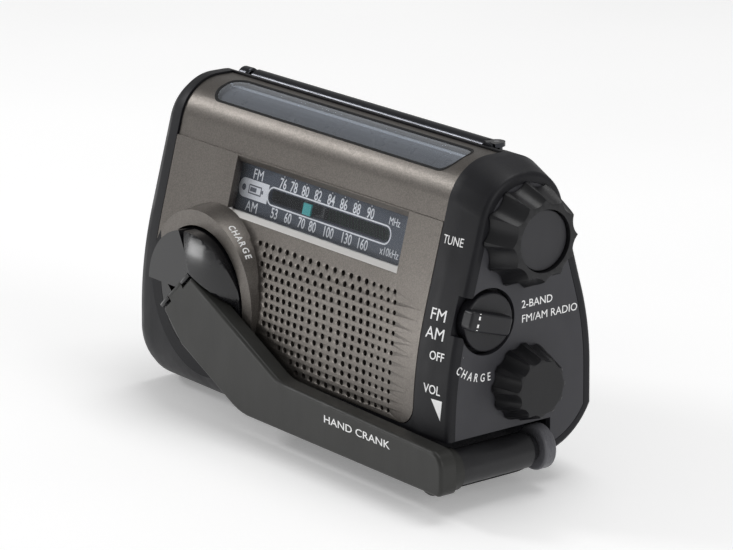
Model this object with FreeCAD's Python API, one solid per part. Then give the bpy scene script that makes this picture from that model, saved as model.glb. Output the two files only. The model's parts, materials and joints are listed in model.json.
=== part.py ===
import FreeCAD, Part
import math
import os

# Hand-cranked AM/FM emergency radio.
# Millimetres. X runs to the right seen from the front, Y to the back, Z up.
# The origin is on the ground, under the middle of the body.

Vector = FreeCAD.Vector

# ---------------------------------------------------------------- driving dimensions
BODY_LEFT = -60.5
BODY_RIGHT = 60.0
LEFT_SEAM = -54.0
RIGHT_SEAM = 49.0
SEAM_GAP = 0.2
BODY_TOP = 77.0
SHELL = 2.0
PANEL_THICKNESS = 2.0
PANEL_STEP = 0.5
PARTING_Y = 4.0

# Side outline of the body, front bottom round to rear bottom: (y, z, corner radius).
OUTLINE = [
    (-23.4, 0.0, 15.0),
    (-22.9, 32.0, 100.0),
    (-11.0, BODY_TOP, 12.0),
    (10.0, BODY_TOP, 11.0),
    (21.6, 36.0, 70.0),
    (22.2, 0.0, 15.0),
]

# Front panel and dial.
PANEL_BOTTOM = 17.2
PANEL_REAR_Y = 2.2
STEP_Z = 63.5
DIAL_LEFT, DIAL_RIGHT = -28.6, 36.8
DIAL_BOTTOM, DIAL_TOP = 49.4, 63.3
DIAL_DEPTH = 1.2
LEDGE_RISE, BROW_DROP = 1.1, 1.6
SLOT_LEFT, SLOT_RIGHT = -18.5, 27.4
SLOT_BOTTOM, SLOT_TOP = 53.6, 56.8
POINTER_X = -2.7
POINTER_WIDTH = 3.0

# Solar window in the top of the panel.
SOLAR_LEFT, SOLAR_RIGHT = -46.5, 44.3
SOLAR_FRONT, SOLAR_REAR = -9.8, -0.6
SOLAR_CORNER = 3.6

# Speaker grille.
HOLE_ROWS = 13
HOLE_COLUMNS = 20
HOLE_TOP, HOLE_BOTTOM = 45.6, 18.9
HOLE_RADIUS = 0.68
SMALL_HOLE_RADIUS = 0.55
SMALL_COLUMNS = 4
SPEAKER_X, SPEAKER_Z = 15.0, 32.0
SPEAKER_RADIUS = 15.4

# Crank.
HUB_X, HUB_Z = -31.2, 29.8
RING_OUTER, RING_INNER = 20.6, 16.8
RING_FACE_Y = -24.2
RING_FLARE = 0.12
ROTOR_RADIUS = 16.2
ROTOR_BASE_Y = -24.5
ROTOR_BACK_Y = -19.0
BLOCK_FACE_Y = -28.2
BLOCK_LEDGE_Z = 31.2
ARM_FRONT_Y, ARM_BACK_Y = -29.2, -24.9
HINGE_Y = -28.8
HINGE_ANGLE = 42.0
HINGE_X, HINGE_Z = -35.0, 30.85
HINGE_HALF = 7.8
HINGE_MIDDLE = 3.3
ARM_ROOT, BLOCK_EDGE = 0.9, -0.9
PIN_RADIUS = 0.3
KNUCKLE_RADIUS = 0.55
DOME_RADIUS = 30.0
DOME_X, DOME_Y, DOME_Z = -32.0, -29.6, 37.0
GRIP_X, GRIP_Z = 59.6, 9.9
GRIP_FRONT_Y, GRIP_REAR_Y = -20.4, 0.5
GRIP_RADIUS = 4.2
GRIP_BOSS_RADIUS = 4.9
GRIP_NECK_RADIUS = 3.2
GRIP_CAP_RADIUS = 5.3
GRIP_CAP_FRONT_Y, GRIP_CAP_REAR_Y = 2.6, 6.0

# Gear train: crank wheel, compound idler, generator pinion.
CRANK_MODULE, CRANK_TEETH, IDLER_PINION_TEETH = 0.6, 50, 12
FAST_MODULE, IDLER_TEETH, GENERATOR_TEETH = 0.4, 48, 12
IDLER_DIRECTION = 100.0
GENERATOR_DIRECTION = 60.0

# Side controls: (y, z) of each shaft.
TUNING = (-0.2, 60.6)
SELECTOR = (-10.7, 42.3)
VOLUME = (-0.5, 26.4)
PANEL_FACE_X = 59.95
PANEL_BACK_X = 58.4
CONTROL_MARGIN = 2.2
NOTCH_TOP = 16.1
NOTCH_REAR_Y = 8.0
SELECTOR_TILT = 17.0
TUNING_BASE_X, TUNING_FACE_X = 60.3, 67.0
TUNING_DISH = 1.4
VOLUME_BASE_X, VOLUME_FACE_X = 60.3, 66.9

# Left end: (y, z) centres, and the hinge line of the jack cover.
LAMP = (0.0, 56.0)
EARPHONE = (-9.0, 24.0)
CHARGE = (6.0, 20.0)
SWITCH = (0.0, 38.0)
JACK_HINGE_X, JACK_HINGE_Z = -61.4, 15.8

# Antenna along the top rear edge.
ANTENNA_Y, ANTENNA_Z = 6.4, 75.3
CHANNEL_FRONT_Y, CHANNEL_FLOOR_Z = 3.4, 72.8
PIVOT_FLOOR_Z = 71.0
ANTENNA_PIVOT_X = 42.0
ANTENNA_LEFT = -52.0
TUBE_RADII = (2.2, 1.7, 1.2)

# Battery bay behind the rear door.
CELL_RADIUS, CELL_LENGTH = 7.15, 49.5
CELL_Y = 11.6
CELL_HEIGHTS = (21.0, 36.2)
DOOR_HALF_WIDTH = 31.0
DOOR_BOTTOM, DOOR_TOP = 16.0, 43.0
DOOR_PIVOT_Y = 21.3
SCREW_PLACES = [(-46.0, 30.0), (42.0, 30.0), (-46.0, 58.0), (30.0, 58.0)]


# ---------------------------------------------------------------- helpers
def box(x0, x1, y0, y1, z0, z1):
    return Part.makeBox(x1 - x0, y1 - y0, z1 - z0, Vector(x0, y0, z0))


def rod_x(radius, x0, x1, y, z):
    return Part.makeCylinder(radius, x1 - x0, Vector(x0, y, z), Vector(1, 0, 0))


def rod_y(radius, y0, y1, x, z):
    return Part.makeCylinder(radius, y1 - y0, Vector(x, y0, z), Vector(0, 1, 0))


def rod_z(radius, z0, z1, x, y):
    return Part.makeCylinder(radius, z1 - z0, Vector(x, y, z0), Vector(0, 0, 1))


def cone_x(radius0, radius1, x0, x1, y, z):
    return Part.makeCone(radius0, radius1, x1 - x0, Vector(x0, y, z), Vector(1, 0, 0))


def fuse(first, *others):
    return first.multiFuse(list(others)).removeSplitter()


def offset_outline(points, distance):
    """The same closed polygon with every side moved inward, and radii that match."""
    count = len(points)
    sides = []
    for i in range(count):
        ax, ay, _ = points[i]
        bx, by, _ = points[(i + 1) % count]
        length = math.hypot(bx - ax, by - ay)
        dx, dy = (bx - ax) / length, (by - ay) / length
        sides.append((ax + dy * distance, ay - dx * distance, dx, dy))
    moved = []
    for i in range(count):
        px, py, pdx, pdy = sides[i - 1]
        qx, qy, qdx, qdy = sides[i]
        cross = pdx * qdy - pdy * qdx
        along = ((qx - px) * qdy - (qy - py) * qdx) / cross
        turns_right = cross < 0
        radius = points[i][2] - distance if turns_right else points[i][2] + distance
        moved.append((px + pdx * along, py + pdy * along, max(radius, 0.3)))
    return moved


def rounded_wire(points, place):
    """Closed wire of straight sides and tangent arcs; place maps (a, b) to a point."""
    count = len(points)
    starts, mids, ends = [], [], []
    for i in range(count):
        ax, ay, _ = points[i - 1]
        bx, by, radius = points[i]
        cx, cy, _ = points[(i + 1) % count]
        before = math.hypot(ax - bx, ay - by)
        after = math.hypot(cx - bx, cy - by)
        ux, uy = (ax - bx) / before, (ay - by) / before
        vx, vy = (cx - bx) / after, (cy - by) / after
        half = math.acos(max(-1.0, min(1.0, ux * vx + uy * vy))) / 2
        reach = radius / math.tan(half)
        starts.append((bx + ux * reach, by + uy * reach))
        ends.append((bx + vx * reach, by + vy * reach))
        mx, my = ux + vx, uy + vy
        size = math.hypot(mx, my)
        depth = radius / math.sin(half) - radius
        mids.append((bx + mx / size * depth, by + my / size * depth))
    edges = []
    for i in range(count):
        j = (i + 1) % count
        edges.append(Part.Arc(place(*starts[i]), place(*mids[i]), place(*ends[i])).toShape())
        edges.append(Part.LineSegment(place(*ends[i]), place(*starts[j])).toShape())
    return Part.Wire(edges)


def side_wire(points, x):
    return rounded_wire(points, lambda y, z: Vector(x, y, z))


def body_prism(inset, x0, x1):
    face = Part.Face(side_wire(offset_outline(OUTLINE, inset), x0))
    return face.extrude(Vector(x1 - x0, 0, 0))


def body_skin(outer_inset, inner_inset, x0, x1):
    return body_prism(outer_inset, x0, x1).cut(body_prism(inner_inset, x0 - 1, x1 + 1))


def front_plate(points, y0, y1):
    """Flat plate seen from the front: (x, z, radius) corners, extruded in y."""
    wire = rounded_wire(points, lambda x, z: Vector(x, y0, z))
    return Part.Face(wire).extrude(Vector(0, y1 - y0, 0))


def side_plate(points, x0, x1):
    """Flat plate seen from the side: (y, z, radius) corners, extruded in x."""
    return Part.Face(side_wire(points, x0)).extrude(Vector(x1 - x0, 0, 0))


def top_plate(points, z0, z1):
    """Flat plate seen from above: (x, y, radius) corners, extruded in z."""
    wire = rounded_wire(points, lambda x, y: Vector(x, y, z0))
    return Part.Face(wire).extrude(Vector(0, 0, z1 - z0))


def rectangle(a0, a1, b0, b1, radius):
    return [(a0, b0, radius), (a0, b1, radius), (a1, b1, radius), (a1, b0, radius)]


def tapered_end(x_seam, x_straight, x_end, insets):
    """End cap solid: a straight stretch and then a lofted, slightly smaller end."""
    front, top, rear = insets
    shrunk = []
    for y, z, radius in OUTLINE:
        new_y = y + front if y < 0 else y - rear
        new_z = z - top if z > BODY_TOP / 2 else z
        shrunk.append((new_y, new_z, radius))
    shrunk[1] = (shrunk[1][0], OUTLINE[1][1], OUTLINE[1][2])
    shrunk[4] = (shrunk[4][0], OUTLINE[4][1], OUTLINE[4][2])
    straight = body_prism(0, min(x_seam, x_straight), max(x_seam, x_straight))
    loft = Part.makeLoft([side_wire(OUTLINE, x_straight), side_wire(shrunk, x_end)], True, True)
    return fuse(straight, loft), shrunk


def edges_on_plane_x(shape, x):
    found = []
    for edge in shape.Edges:
        bounds = edge.BoundBox
        if abs(bounds.XMin - x) < 1e-4 and abs(bounds.XMax - x) < 1e-4:
            found.append(edge)
    return found


def export(name, shape):
    shape.exportStep("parts/" + name + ".step")
    print(name, "solids", len(shape.Solids), "valid", shape.isValid(), "volume", round(shape.Volume, 1))


# ---------------------------------------------------------------- casing
def grip_notch():
    """Space under the right end where the folded grip lies, open below and to the side."""
    return box(51.0, 62.0, -40.0, NOTCH_REAR_Y, -2.0, NOTCH_TOP)


def raised_end(inset):
    """Everything above the raised rear corner of the right end."""
    corners = [
        (-40.0 + inset, 3.0 + inset, 0.5),
        (-40.0 + inset, 95.0, 0.5),
        (22.4 - inset, 95.0, 0.5),
        (22.4 - inset, 8.8 + inset, 18.0 - inset),
    ]
    return side_plate(corners, 40.0, 70.0)


def underside_wedge():
    """Sliver trimmed off the underside where it meets the grip's notch."""
    corners = [(46.6, -3.0, 0.1), (46.6, -0.1, 0.1), (51.5, 2.2, 0.1), (51.5, -3.0, 0.1)]
    return front_plate(corners, -40.0, 40.0)


def antenna_channel():
    return box(-62.0, 46.4, CHANNEL_FRONT_Y, 30.0, CHANNEL_FLOOR_Z, 90.0)


def make_left_cap():
    solid, _ = tapered_end(LEFT_SEAM, -57.0, BODY_LEFT, (1.4, 1.8, 1.4))
    solid = solid.makeFillet(1.3, edges_on_plane_x(solid, BODY_LEFT))
    cavity = body_prism(SHELL, -58.2, LEFT_SEAM + 1)
    cap = solid.cut(cavity).cut(antenna_channel())
    shelf = box(-58.4, LEFT_SEAM, CHANNEL_FRONT_Y - 1.6, 20.0, CHANNEL_FLOOR_Z - 1.6, CHANNEL_FLOOR_Z)
    wall = box(-58.4, LEFT_SEAM, CHANNEL_FRONT_Y - 1.6, CHANNEL_FRONT_Y, CHANNEL_FLOOR_Z, BODY_TOP)
    inner = body_prism(0.8, -58.6, LEFT_SEAM)
    cap = fuse(cap, shelf.common(inner), wall.common(inner))
    lamp_hole = rod_x(7.2, -62, -50, *LAMP)
    jack_hole = rod_x(3.0, -62, -50, *EARPHONE)
    charge_hole = box(-62, -50, CHARGE[0] - 4.6, CHARGE[0] + 4.6, CHARGE[1] - 2.6, CHARGE[1] + 2.6)
    switch_slot = box(-62, -57, SWITCH[0] - 1.4, SWITCH[0] + 1.4, SWITCH[1] - 5.4, SWITCH[1] + 5.4)
    return cap.cut(Part.makeCompound([lamp_hole, jack_hole])).cut(charge_hole).cut(switch_slot)


def make_right_cap():
    solid, end = tapered_end(RIGHT_SEAM, 52.0, BODY_RIGHT, (1.0, 2.4, 1.6))
    solid = solid.common(raised_end(0))
    solid = solid.makeFillet(1.3, edges_on_plane_x(solid, BODY_RIGHT))
    cavity = body_prism(SHELL, RIGHT_SEAM - 1, 55.6).common(raised_end(SHELL))
    cavity = cavity.cut(box(49.0, 60.0, -40.0, NOTCH_REAR_Y + SHELL, -5.0, NOTCH_TOP + SHELL))
    cavity = cavity.cut(box(40.0, 60.0, CHANNEL_FRONT_Y - 1.6, 40.0, CHANNEL_FLOOR_Z - 1.6, 90.0))
    cap = solid.cut(cavity).cut(grip_notch()).cut(underside_wedge())
    pocket = side_plate(offset_outline(end, CONTROL_MARGIN), PANEL_BACK_X, BODY_RIGHT + 1)
    cap = cap.cut(pocket.common(raised_end(CONTROL_MARGIN)))
    selector_bore = rod_x(7.7, 57.2, 61.0, *SELECTOR)
    shafts = [rod_x(2.4, 50, 61, *centre) for centre in (TUNING, SELECTOR, VOLUME)]
    cap = cap.cut(Part.makeCompound(shafts)).cut(selector_bore)
    return cap.cut(selector_notch())


def selector_notch():
    """Finger notch from the selector's bore to the front edge of the cap."""
    notch = box(57.9, 61.0, -4.5, 4.5, 6.0, 16.0)
    notch.rotate(Vector(0, 0, 0), Vector(1, 0, 0), 90 - SELECTOR_TILT)
    notch.translate(Vector(0, SELECTOR[0], SELECTOR[1]))
    return notch


def make_control_panel():
    _, end = tapered_end(RIGHT_SEAM, 52.0, BODY_RIGHT, (1.0, 2.4, 1.6))
    margin = CONTROL_MARGIN + 0.03
    plate = side_plate(offset_outline(end, margin), PANEL_BACK_X, PANEL_FACE_X).common(raised_end(margin))
    plate = plate.cut(box(50.0, 62.0, -40.0, NOTCH_REAR_Y + 0.03, -5.0, NOTCH_TOP))
    holes = [rod_x(2.4, 50, 61, *TUNING), rod_x(2.4, 50, 61, *VOLUME), rod_x(7.7, 50, 61, *SELECTOR)]
    return plate.cut(Part.makeCompound(holes)).cut(selector_notch())


def panel_mask(margin):
    """Front outline of the metal panel; the margin grows it for the clearance around it."""
    left = LEFT_SEAM + SEAM_GAP - margin
    right = RIGHT_SEAM - SEAM_GAP + margin
    bottom = PANEL_BOTTOM - margin
    corners = [
        (left, 32.0 - margin, 1.0),
        (left, 95.0, 0.5),
        (right, 95.0, 0.5),
        (right, bottom, 5.0),
        (-4.5, bottom, 3.0),
        (-19.0, 26.4 - margin, 2.0),
        (-38.0, 30.0 - margin, 4.0),
    ]
    return front_plate(corners, -40.0, PANEL_REAR_Y + margin)


def hole_places():
    """Centres and radii of the grille holes: a grid whose side columns bow inward."""
    places = []
    for row in range(HOLE_ROWS):
        v = 1 - 2 * row / (HOLE_ROWS - 1)
        z = HOLE_TOP + (HOLE_BOTTOM - HOLE_TOP) * row / (HOLE_ROWS - 1)
        upper = max(v, 0.0) ** 2
        lower = min(v, 0.0) ** 2
        left = -7.8 - 8.3 * upper - 1.6 * lower
        right = 39.8 - 2.2 * upper + 0.2 * lower
        for column in range(HOLE_COLUMNS):
            u = column / (HOLE_COLUMNS - 1)
            spread = u + 0.018 * math.sin(2 * math.pi * (u - 0.5))
            x = left + (right - left) * spread
            under_arm = z < 30.0 and x < 4.0 - 1.55 * (z - HOLE_BOTTOM)
            near_ring = math.hypot(x - HUB_X, z - HUB_Z) < RING_OUTER + 1.9
            if under_arm or near_ring:
                continue
            small = column >= HOLE_COLUMNS - SMALL_COLUMNS
            places.append((x, z, SMALL_HOLE_RADIUS if small else HOLE_RADIUS))
    return places


def front_slope_y(z, inset):
    """Y of the straight upper front at a height, moved inward by an inset."""
    y0, z0, _ = OUTLINE[1]
    y1, z1, _ = OUTLINE[2]
    slope = (y1 - y0) / (z1 - z0)
    return y0 + (z - z0) * slope + inset * math.hypot(1, slope)


def dial_opening():
    """Opening for the dial whose lower and upper faces slope in to the window."""
    low, high = DIAL_BOTTOM + LEDGE_RISE, DIAL_TOP - BROW_DROP
    points = [
        (-40.0, DIAL_BOTTOM),
        (front_slope_y(DIAL_BOTTOM, 0), DIAL_BOTTOM),
        (front_slope_y(low, DIAL_DEPTH), low),
        (0.0, low),
        (0.0, high),
        (front_slope_y(high, DIAL_DEPTH), high),
        (front_slope_y(DIAL_TOP, 0), DIAL_TOP),
        (-40.0, DIAL_TOP),
    ]
    corners = [Vector(DIAL_LEFT, y, z) for y, z in points]
    face = Part.Face(Part.makePolygon(corners + [corners[0]]))
    return face.extrude(Vector(DIAL_RIGHT - DIAL_LEFT, 0, 0))


def make_front_panel():
    skin = body_skin(0, PANEL_THICKNESS, LEFT_SEAM + SEAM_GAP, RIGHT_SEAM - SEAM_GAP)
    panel = skin.common(panel_mask(0))
    upper_shave = body_skin(-1, PANEL_STEP, -60, 60).common(box(-60, 60, -40, 40, STEP_Z, 90))
    panel = panel.cut(upper_shave)
    solar_opening = top_plate(
        rectangle(SOLAR_LEFT, SOLAR_RIGHT, SOLAR_FRONT, SOLAR_REAR, SOLAR_CORNER), 60, 90)
    hub_hole = rod_y(RING_INNER, -40, 0, HUB_X, HUB_Z)
    panel = panel.cut(Part.makeCompound([dial_opening(), hub_hole])).cut(solar_opening)
    drills = [rod_y(radius, -30, -10, x, z) for x, z, radius in hole_places()]
    return panel.cut(Part.makeCompound(drills))


def make_crank_ring():
    """Ring round the crank with a wall that flares out down to the panel."""
    depth = 10.0
    ring = Part.makeCone(RING_OUTER, RING_OUTER + RING_FLARE * depth, depth,
                         Vector(HUB_X, RING_FACE_Y, HUB_Z), Vector(0, 1, 0))
    ring = ring.cut(rod_y(RING_INNER, -40, 0, HUB_X, HUB_Z))
    return ring.cut(body_prism(0, -60, 60))


def make_front_base():
    x0, x1 = LEFT_SEAM, RIGHT_SEAM
    skin = body_skin(0, SHELL, x0, x1).common(box(x0, x1, -40, PARTING_Y, -5, 90))
    base = skin.cut(panel_mask(SEAM_GAP))
    hub_hole = rod_y(RING_INNER, -40, 0, HUB_X, HUB_Z)
    foot_holes = [rod_z(3.1, -1.0, 1.6, x, -9.0) for x in (-45.0, 40.0)]
    base = base.cut(Part.makeCompound([hub_hole])).cut(Part.makeCompound(foot_holes))
    return max(base.Solids, key=lambda solid: solid.Volume)


def door_block(margin):
    """Volume of the battery door's outline; the margin grows it for the clearance."""
    return box(-DOOR_HALF_WIDTH - margin, DOOR_HALF_WIDTH + margin, 14.0, 30.0,
               DOOR_BOTTOM - margin, DOOR_TOP + margin)


def make_rear_housing():
    x0, x1 = LEFT_SEAM, RIGHT_SEAM
    skin = body_skin(0, SHELL, x0, x1)
    rear = skin.common(box(x0, x1, PARTING_Y, 40, -5, 90))
    top_rear = skin.common(box(x0, x1, PANEL_REAR_Y + SEAM_GAP, PARTING_Y, 60, 90))
    rear = rear.fuse(top_rear).cut(antenna_channel())
    shelf = box(x0, x1, PANEL_REAR_Y + SEAM_GAP, 20.0, CHANNEL_FLOOR_Z - 1.6, CHANNEL_FLOOR_Z)
    pivot_block = box(36.0, x1, PANEL_REAR_Y + SEAM_GAP, 20.0, PIVOT_FLOOR_Z - 1.6, CHANNEL_FLOOR_Z)
    rear = fuse(rear, fuse(shelf, pivot_block).common(body_prism(0.8, x0, x1)))
    rear = rear.cut(box(37.5, 46.4, CHANNEL_FRONT_Y, 30.0, PIVOT_FLOOR_Z, 90.0))
    rear = rear.cut(door_block(0.3))
    rear = rear.cut(rod_x(1.35, -DOOR_HALF_WIDTH - 0.3, DOOR_HALF_WIDTH + 0.3, DOOR_PIVOT_Y, DOOR_BOTTOM))
    foot_holes = [rod_z(3.1, -1.0, 1.6, x, 9.0) for x in (-45.0, 40.0)]
    screw_holes = [rod_y(1.6, 10, 30, x, z) for x, z in SCREW_PLACES]
    return rear.cut(Part.makeCompound(foot_holes)).cut(Part.makeCompound(screw_holes))


def make_battery_door():
    door = body_skin(0, SHELL, -DOOR_HALF_WIDTH, DOOR_HALF_WIDTH).common(door_block(0))
    barrel = rod_x(1.0, -DOOR_HALF_WIDTH, DOOR_HALF_WIDTH, DOOR_PIVOT_Y, DOOR_BOTTOM)
    finger_dish = box(-8.0, 8.0, 20.4, 30.0, 38.0, 41.5)
    return fuse(door, barrel).cut(finger_dish)


def make_solar_window():
    points = rectangle(SOLAR_LEFT + 0.15, SOLAR_RIGHT - 0.15, SOLAR_FRONT + 0.15, SOLAR_REAR - 0.15,
                       SOLAR_CORNER - 0.15)
    return body_skin(PANEL_STEP + 0.15, 1.5, -60, 60).common(top_plate(points, 60, 90))


def make_solar_cell():
    points = rectangle(SOLAR_LEFT + 0.15, SOLAR_RIGHT - 0.15, SOLAR_FRONT + 0.15, SOLAR_REAR - 0.15,
                       SOLAR_CORNER - 0.15)
    return body_skin(1.6, 2.3, -60, 60).common(top_plate(points, 60, 90))


def make_dial_window():
    outline = rectangle(DIAL_LEFT + 0.1, DIAL_RIGHT - 0.1, DIAL_BOTTOM + LEDGE_RISE + 0.1,
                        DIAL_TOP - BROW_DROP - 0.1, 0.3)
    return body_skin(DIAL_DEPTH, DIAL_DEPTH + 0.6, -60, 60).common(front_plate(outline, -40, 0))


def make_dial_scale():
    slot = front_plate(rectangle(SLOT_LEFT, SLOT_RIGHT, SLOT_BOTTOM, SLOT_TOP, 1.4), -40, 0)
    outline = rectangle(DIAL_LEFT - 4.0, DIAL_RIGHT + 1.5, DIAL_BOTTOM - 1.5, DIAL_TOP + 1.5, 0.5)
    scale = body_skin(3.7, 4.7, -60, 60).common(front_plate(outline, -40, 0))
    return scale.cut(slot)


def make_dial_pointer():
    flag = body_skin(2.95, 5.6, -60, 60).common(
        box(POINTER_X - POINTER_WIDTH / 2, POINTER_X + POINTER_WIDTH / 2, -40, 0,
            SLOT_BOTTOM + 0.3, SLOT_TOP - 0.3))
    carriage = body_skin(5.2, 6.4, -60, 60).common(box(POINTER_X - 4, POINTER_X + 4, -40, 0, 52.0, 58.4))
    return fuse(flag, carriage)


# ---------------------------------------------------------------- speaker
def make_speaker_frame():
    front_y = -15.2
    rim = rod_y(SPEAKER_RADIUS, front_y, front_y + 1.2, SPEAKER_X, SPEAKER_Z)
    wide, narrow = SPEAKER_RADIUS - 1.2, 9.6
    basket = Part.makeCone(wide, narrow, 6.0, Vector(SPEAKER_X, front_y + 1.2, SPEAKER_Z), Vector(0, 1, 0))
    bowl = Part.makeCone(wide - 0.8, narrow - 0.8, 6.0, Vector(SPEAKER_X, front_y + 1.2, SPEAKER_Z),
                         Vector(0, 1, 0))
    well = rod_y(wide - 0.8, front_y - 1, front_y + 1.2, SPEAKER_X, SPEAKER_Z)
    floor = rod_y(9.6, front_y + 7.2, front_y + 8.2, SPEAKER_X, SPEAKER_Z)
    return fuse(rim, basket).cut(well).cut(bowl).fuse(floor).removeSplitter()


def make_speaker_cone():
    front_y = -15.0
    wide = SPEAKER_RADIUS - 2.4
    cone = Part.makeCone(wide, 5.0, 5.6, Vector(SPEAKER_X, front_y, SPEAKER_Z), Vector(0, 1, 0))
    inner = Part.makeCone(wide - 0.5, 4.5, 5.6, Vector(SPEAKER_X, front_y - 0.3, SPEAKER_Z), Vector(0, 1, 0))
    return cone.cut(inner)


def make_speaker_magnet():
    return rod_y(8.4, -7.0, 0.6, SPEAKER_X, SPEAKER_Z)


def make_grille_cloth():
    cloth = body_skin(PANEL_THICKNESS + 0.1, PANEL_THICKNESS + 0.6, -10.2, 42.5)
    return cloth.common(front_plate(rectangle(-10.0, 42.4, 18.0, 46.8, 2.0), -40, -10))


# ---------------------------------------------------------------- crank
def hinge_point(across, along):
    """Front-view point given across (towards the folded arm) and along the hinge line."""
    angle = math.radians(HINGE_ANGLE)
    along_x, along_z = math.cos(angle), math.sin(angle)
    across_x, across_z = math.sin(angle), -math.cos(angle)
    x = HINGE_X + across * across_x + along * along_x
    z = HINGE_Z + across * across_z + along * along_z
    return x, z


def hinge_rod(radius, along0, along1):
    x, z = hinge_point(0, along0)
    angle = math.radians(HINGE_ANGLE)
    return Part.makeCylinder(radius, along1 - along0, Vector(x, HINGE_Y, z),
                             Vector(math.cos(angle), 0, math.sin(angle)))


def make_crank_rotor():
    base = rod_y(ROTOR_RADIUS, ROTOR_BASE_Y, ROTOR_BACK_Y, HUB_X, HUB_Z)
    disc = rod_y(ROTOR_RADIUS, -40, ROTOR_BASE_Y + 0.5, HUB_X, HUB_Z)
    along_at_ledge = (BLOCK_LEDGE_Z - hinge_point(BLOCK_EDGE, 0)[1]) / math.sin(math.radians(HINGE_ANGLE))
    ledge_x, ledge_z = hinge_point(BLOCK_EDGE, along_at_ledge)
    block_corners = [
        (ledge_x, ledge_z, 0.3),
        (-60.0, ledge_z, 0.1),
        hinge_point(-40, 18.0) + (0.1,),
        hinge_point(BLOCK_EDGE, HINGE_HALF) + (0.1,),
    ]
    block = front_plate(block_corners, BLOCK_FACE_Y, ROTOR_BASE_Y + 0.5).common(disc)
    dome_corners = [
        hinge_point(0, 8.3) + (0.4,),
        hinge_point(-40, 25.4) + (0.1,),
        hinge_point(-10, 60) + (0.1,),
        hinge_point(40, 60) + (0.1,),
        hinge_point(40, 22.6) + (0.1,),
    ]
    ball = Part.makeSphere(DOME_RADIUS, Vector(DOME_X, DOME_Y + DOME_RADIUS, DOME_Z))
    dome = front_plate(dome_corners, -40, ROTOR_BASE_Y + 0.5).common(disc).common(ball)
    ears = []
    for sign in (-1, 1):
        low, high = sorted((sign * (HINGE_MIDDLE + 0.3), sign * HINGE_HALF))
        ears.append(hinge_rod(KNUCKLE_RADIUS, low, high))
        foot = front_plate(
            [hinge_point(-KNUCKLE_RADIUS, low) + (0.1,), hinge_point(-KNUCKLE_RADIUS, high) + (0.1,),
             hinge_point(KNUCKLE_RADIUS, high) + (0.1,), hinge_point(KNUCKLE_RADIUS, low) + (0.1,)],
            HINGE_Y, ROTOR_BASE_Y + 0.5)
        ears.append(foot)
    rotor = fuse(base, block, dome, *ears)
    hollow_corners = [
        (ledge_x - 0.6, ledge_z - 0.2, 0.2),
        (-46.6, ledge_z - 0.2, 0.4),
        hinge_point(BLOCK_EDGE, -HINGE_HALF) + (0.4,),
    ]
    hollow = front_plate(hollow_corners, -40, ROTOR_BASE_Y + 3.0)
    bore = rod_y(3.0, -24.0, -18.0, HUB_X, HUB_Z)
    return rotor.cut(hollow).cut(hinge_rod(PIN_RADIUS, -9, 9)).cut(bore)


def make_crank_arm():
    root_low = hinge_point(ARM_ROOT, -HINGE_HALF)
    root_high = hinge_point(ARM_ROOT, HINGE_HALF)
    outline = [
        root_low + (0.8,),
        root_high + (0.8,),
        (6.4, 18.2, 12.0),
        (66.4, 16.6, 3.8),
        (66.4, 6.4, 2.0),
        (-9.2, 6.4, 16.0),
        (-33.0, 17.6, 6.0),
    ]
    arm = front_plate(outline, ARM_FRONT_Y, ARM_BACK_Y)
    front_edges = [e for e in arm.Edges if abs(e.BoundBox.YMax - ARM_FRONT_Y) < 1e-4]
    arm = arm.makeFillet(0.9, front_edges)
    knuckle = hinge_rod(KNUCKLE_RADIUS, -HINGE_MIDDLE, HINGE_MIDDLE)
    tongue = front_plate(
        [hinge_point(0, -HINGE_MIDDLE) + (0.1,), hinge_point(0, HINGE_MIDDLE) + (0.1,),
         hinge_point(4.0, HINGE_MIDDLE) + (0.1,), hinge_point(4.0, -HINGE_MIDDLE) + (0.1,)],
        ARM_FRONT_Y, HINGE_Y + KNUCKLE_RADIUS - 0.1)
    boss = rod_y(GRIP_BOSS_RADIUS, ARM_BACK_Y - 2.0, GRIP_FRONT_Y - 0.3, GRIP_X, GRIP_Z)
    arm = fuse(arm, knuckle, tongue, boss)
    pin_bore = hinge_rod(PIN_RADIUS + 0.04, -9, 9)
    grip_bore = rod_y(1.6, -24.5, -17.0, GRIP_X, GRIP_Z)
    return arm.cut(pin_bore).cut(grip_bore)


def make_hinge_pin():
    return hinge_rod(PIN_RADIUS, -HINGE_HALF + 0.2, HINGE_HALF - 0.2)


def make_grip_pin():
    return rod_y(1.6, -24.5, GRIP_CAP_REAR_Y - 1.4, GRIP_X, GRIP_Z)


def make_grip_sleeve():
    sleeve = rod_y(GRIP_RADIUS, GRIP_FRONT_Y, GRIP_REAR_Y, GRIP_X, GRIP_Z)
    neck = rod_y(GRIP_NECK_RADIUS, GRIP_REAR_Y, GRIP_CAP_FRONT_Y, GRIP_X, GRIP_Z)
    sleeve = fuse(sleeve, neck)
    return sleeve.cut(rod_y(1.9, GRIP_FRONT_Y - 1, GRIP_CAP_FRONT_Y + 1, GRIP_X, GRIP_Z))


def make_grip_cap():
    cap = rod_y(GRIP_CAP_RADIUS, GRIP_CAP_FRONT_Y, GRIP_CAP_REAR_Y, GRIP_X, GRIP_Z)
    cap = cap.makeFillet(0.6, [e for e in cap.Edges if e.Curve.TypeId == "Part::GeomCircle"])
    return cap.cut(rod_y(1.9, GRIP_CAP_FRONT_Y - 1, GRIP_CAP_REAR_Y - 1.2, GRIP_X, GRIP_Z))


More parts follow.
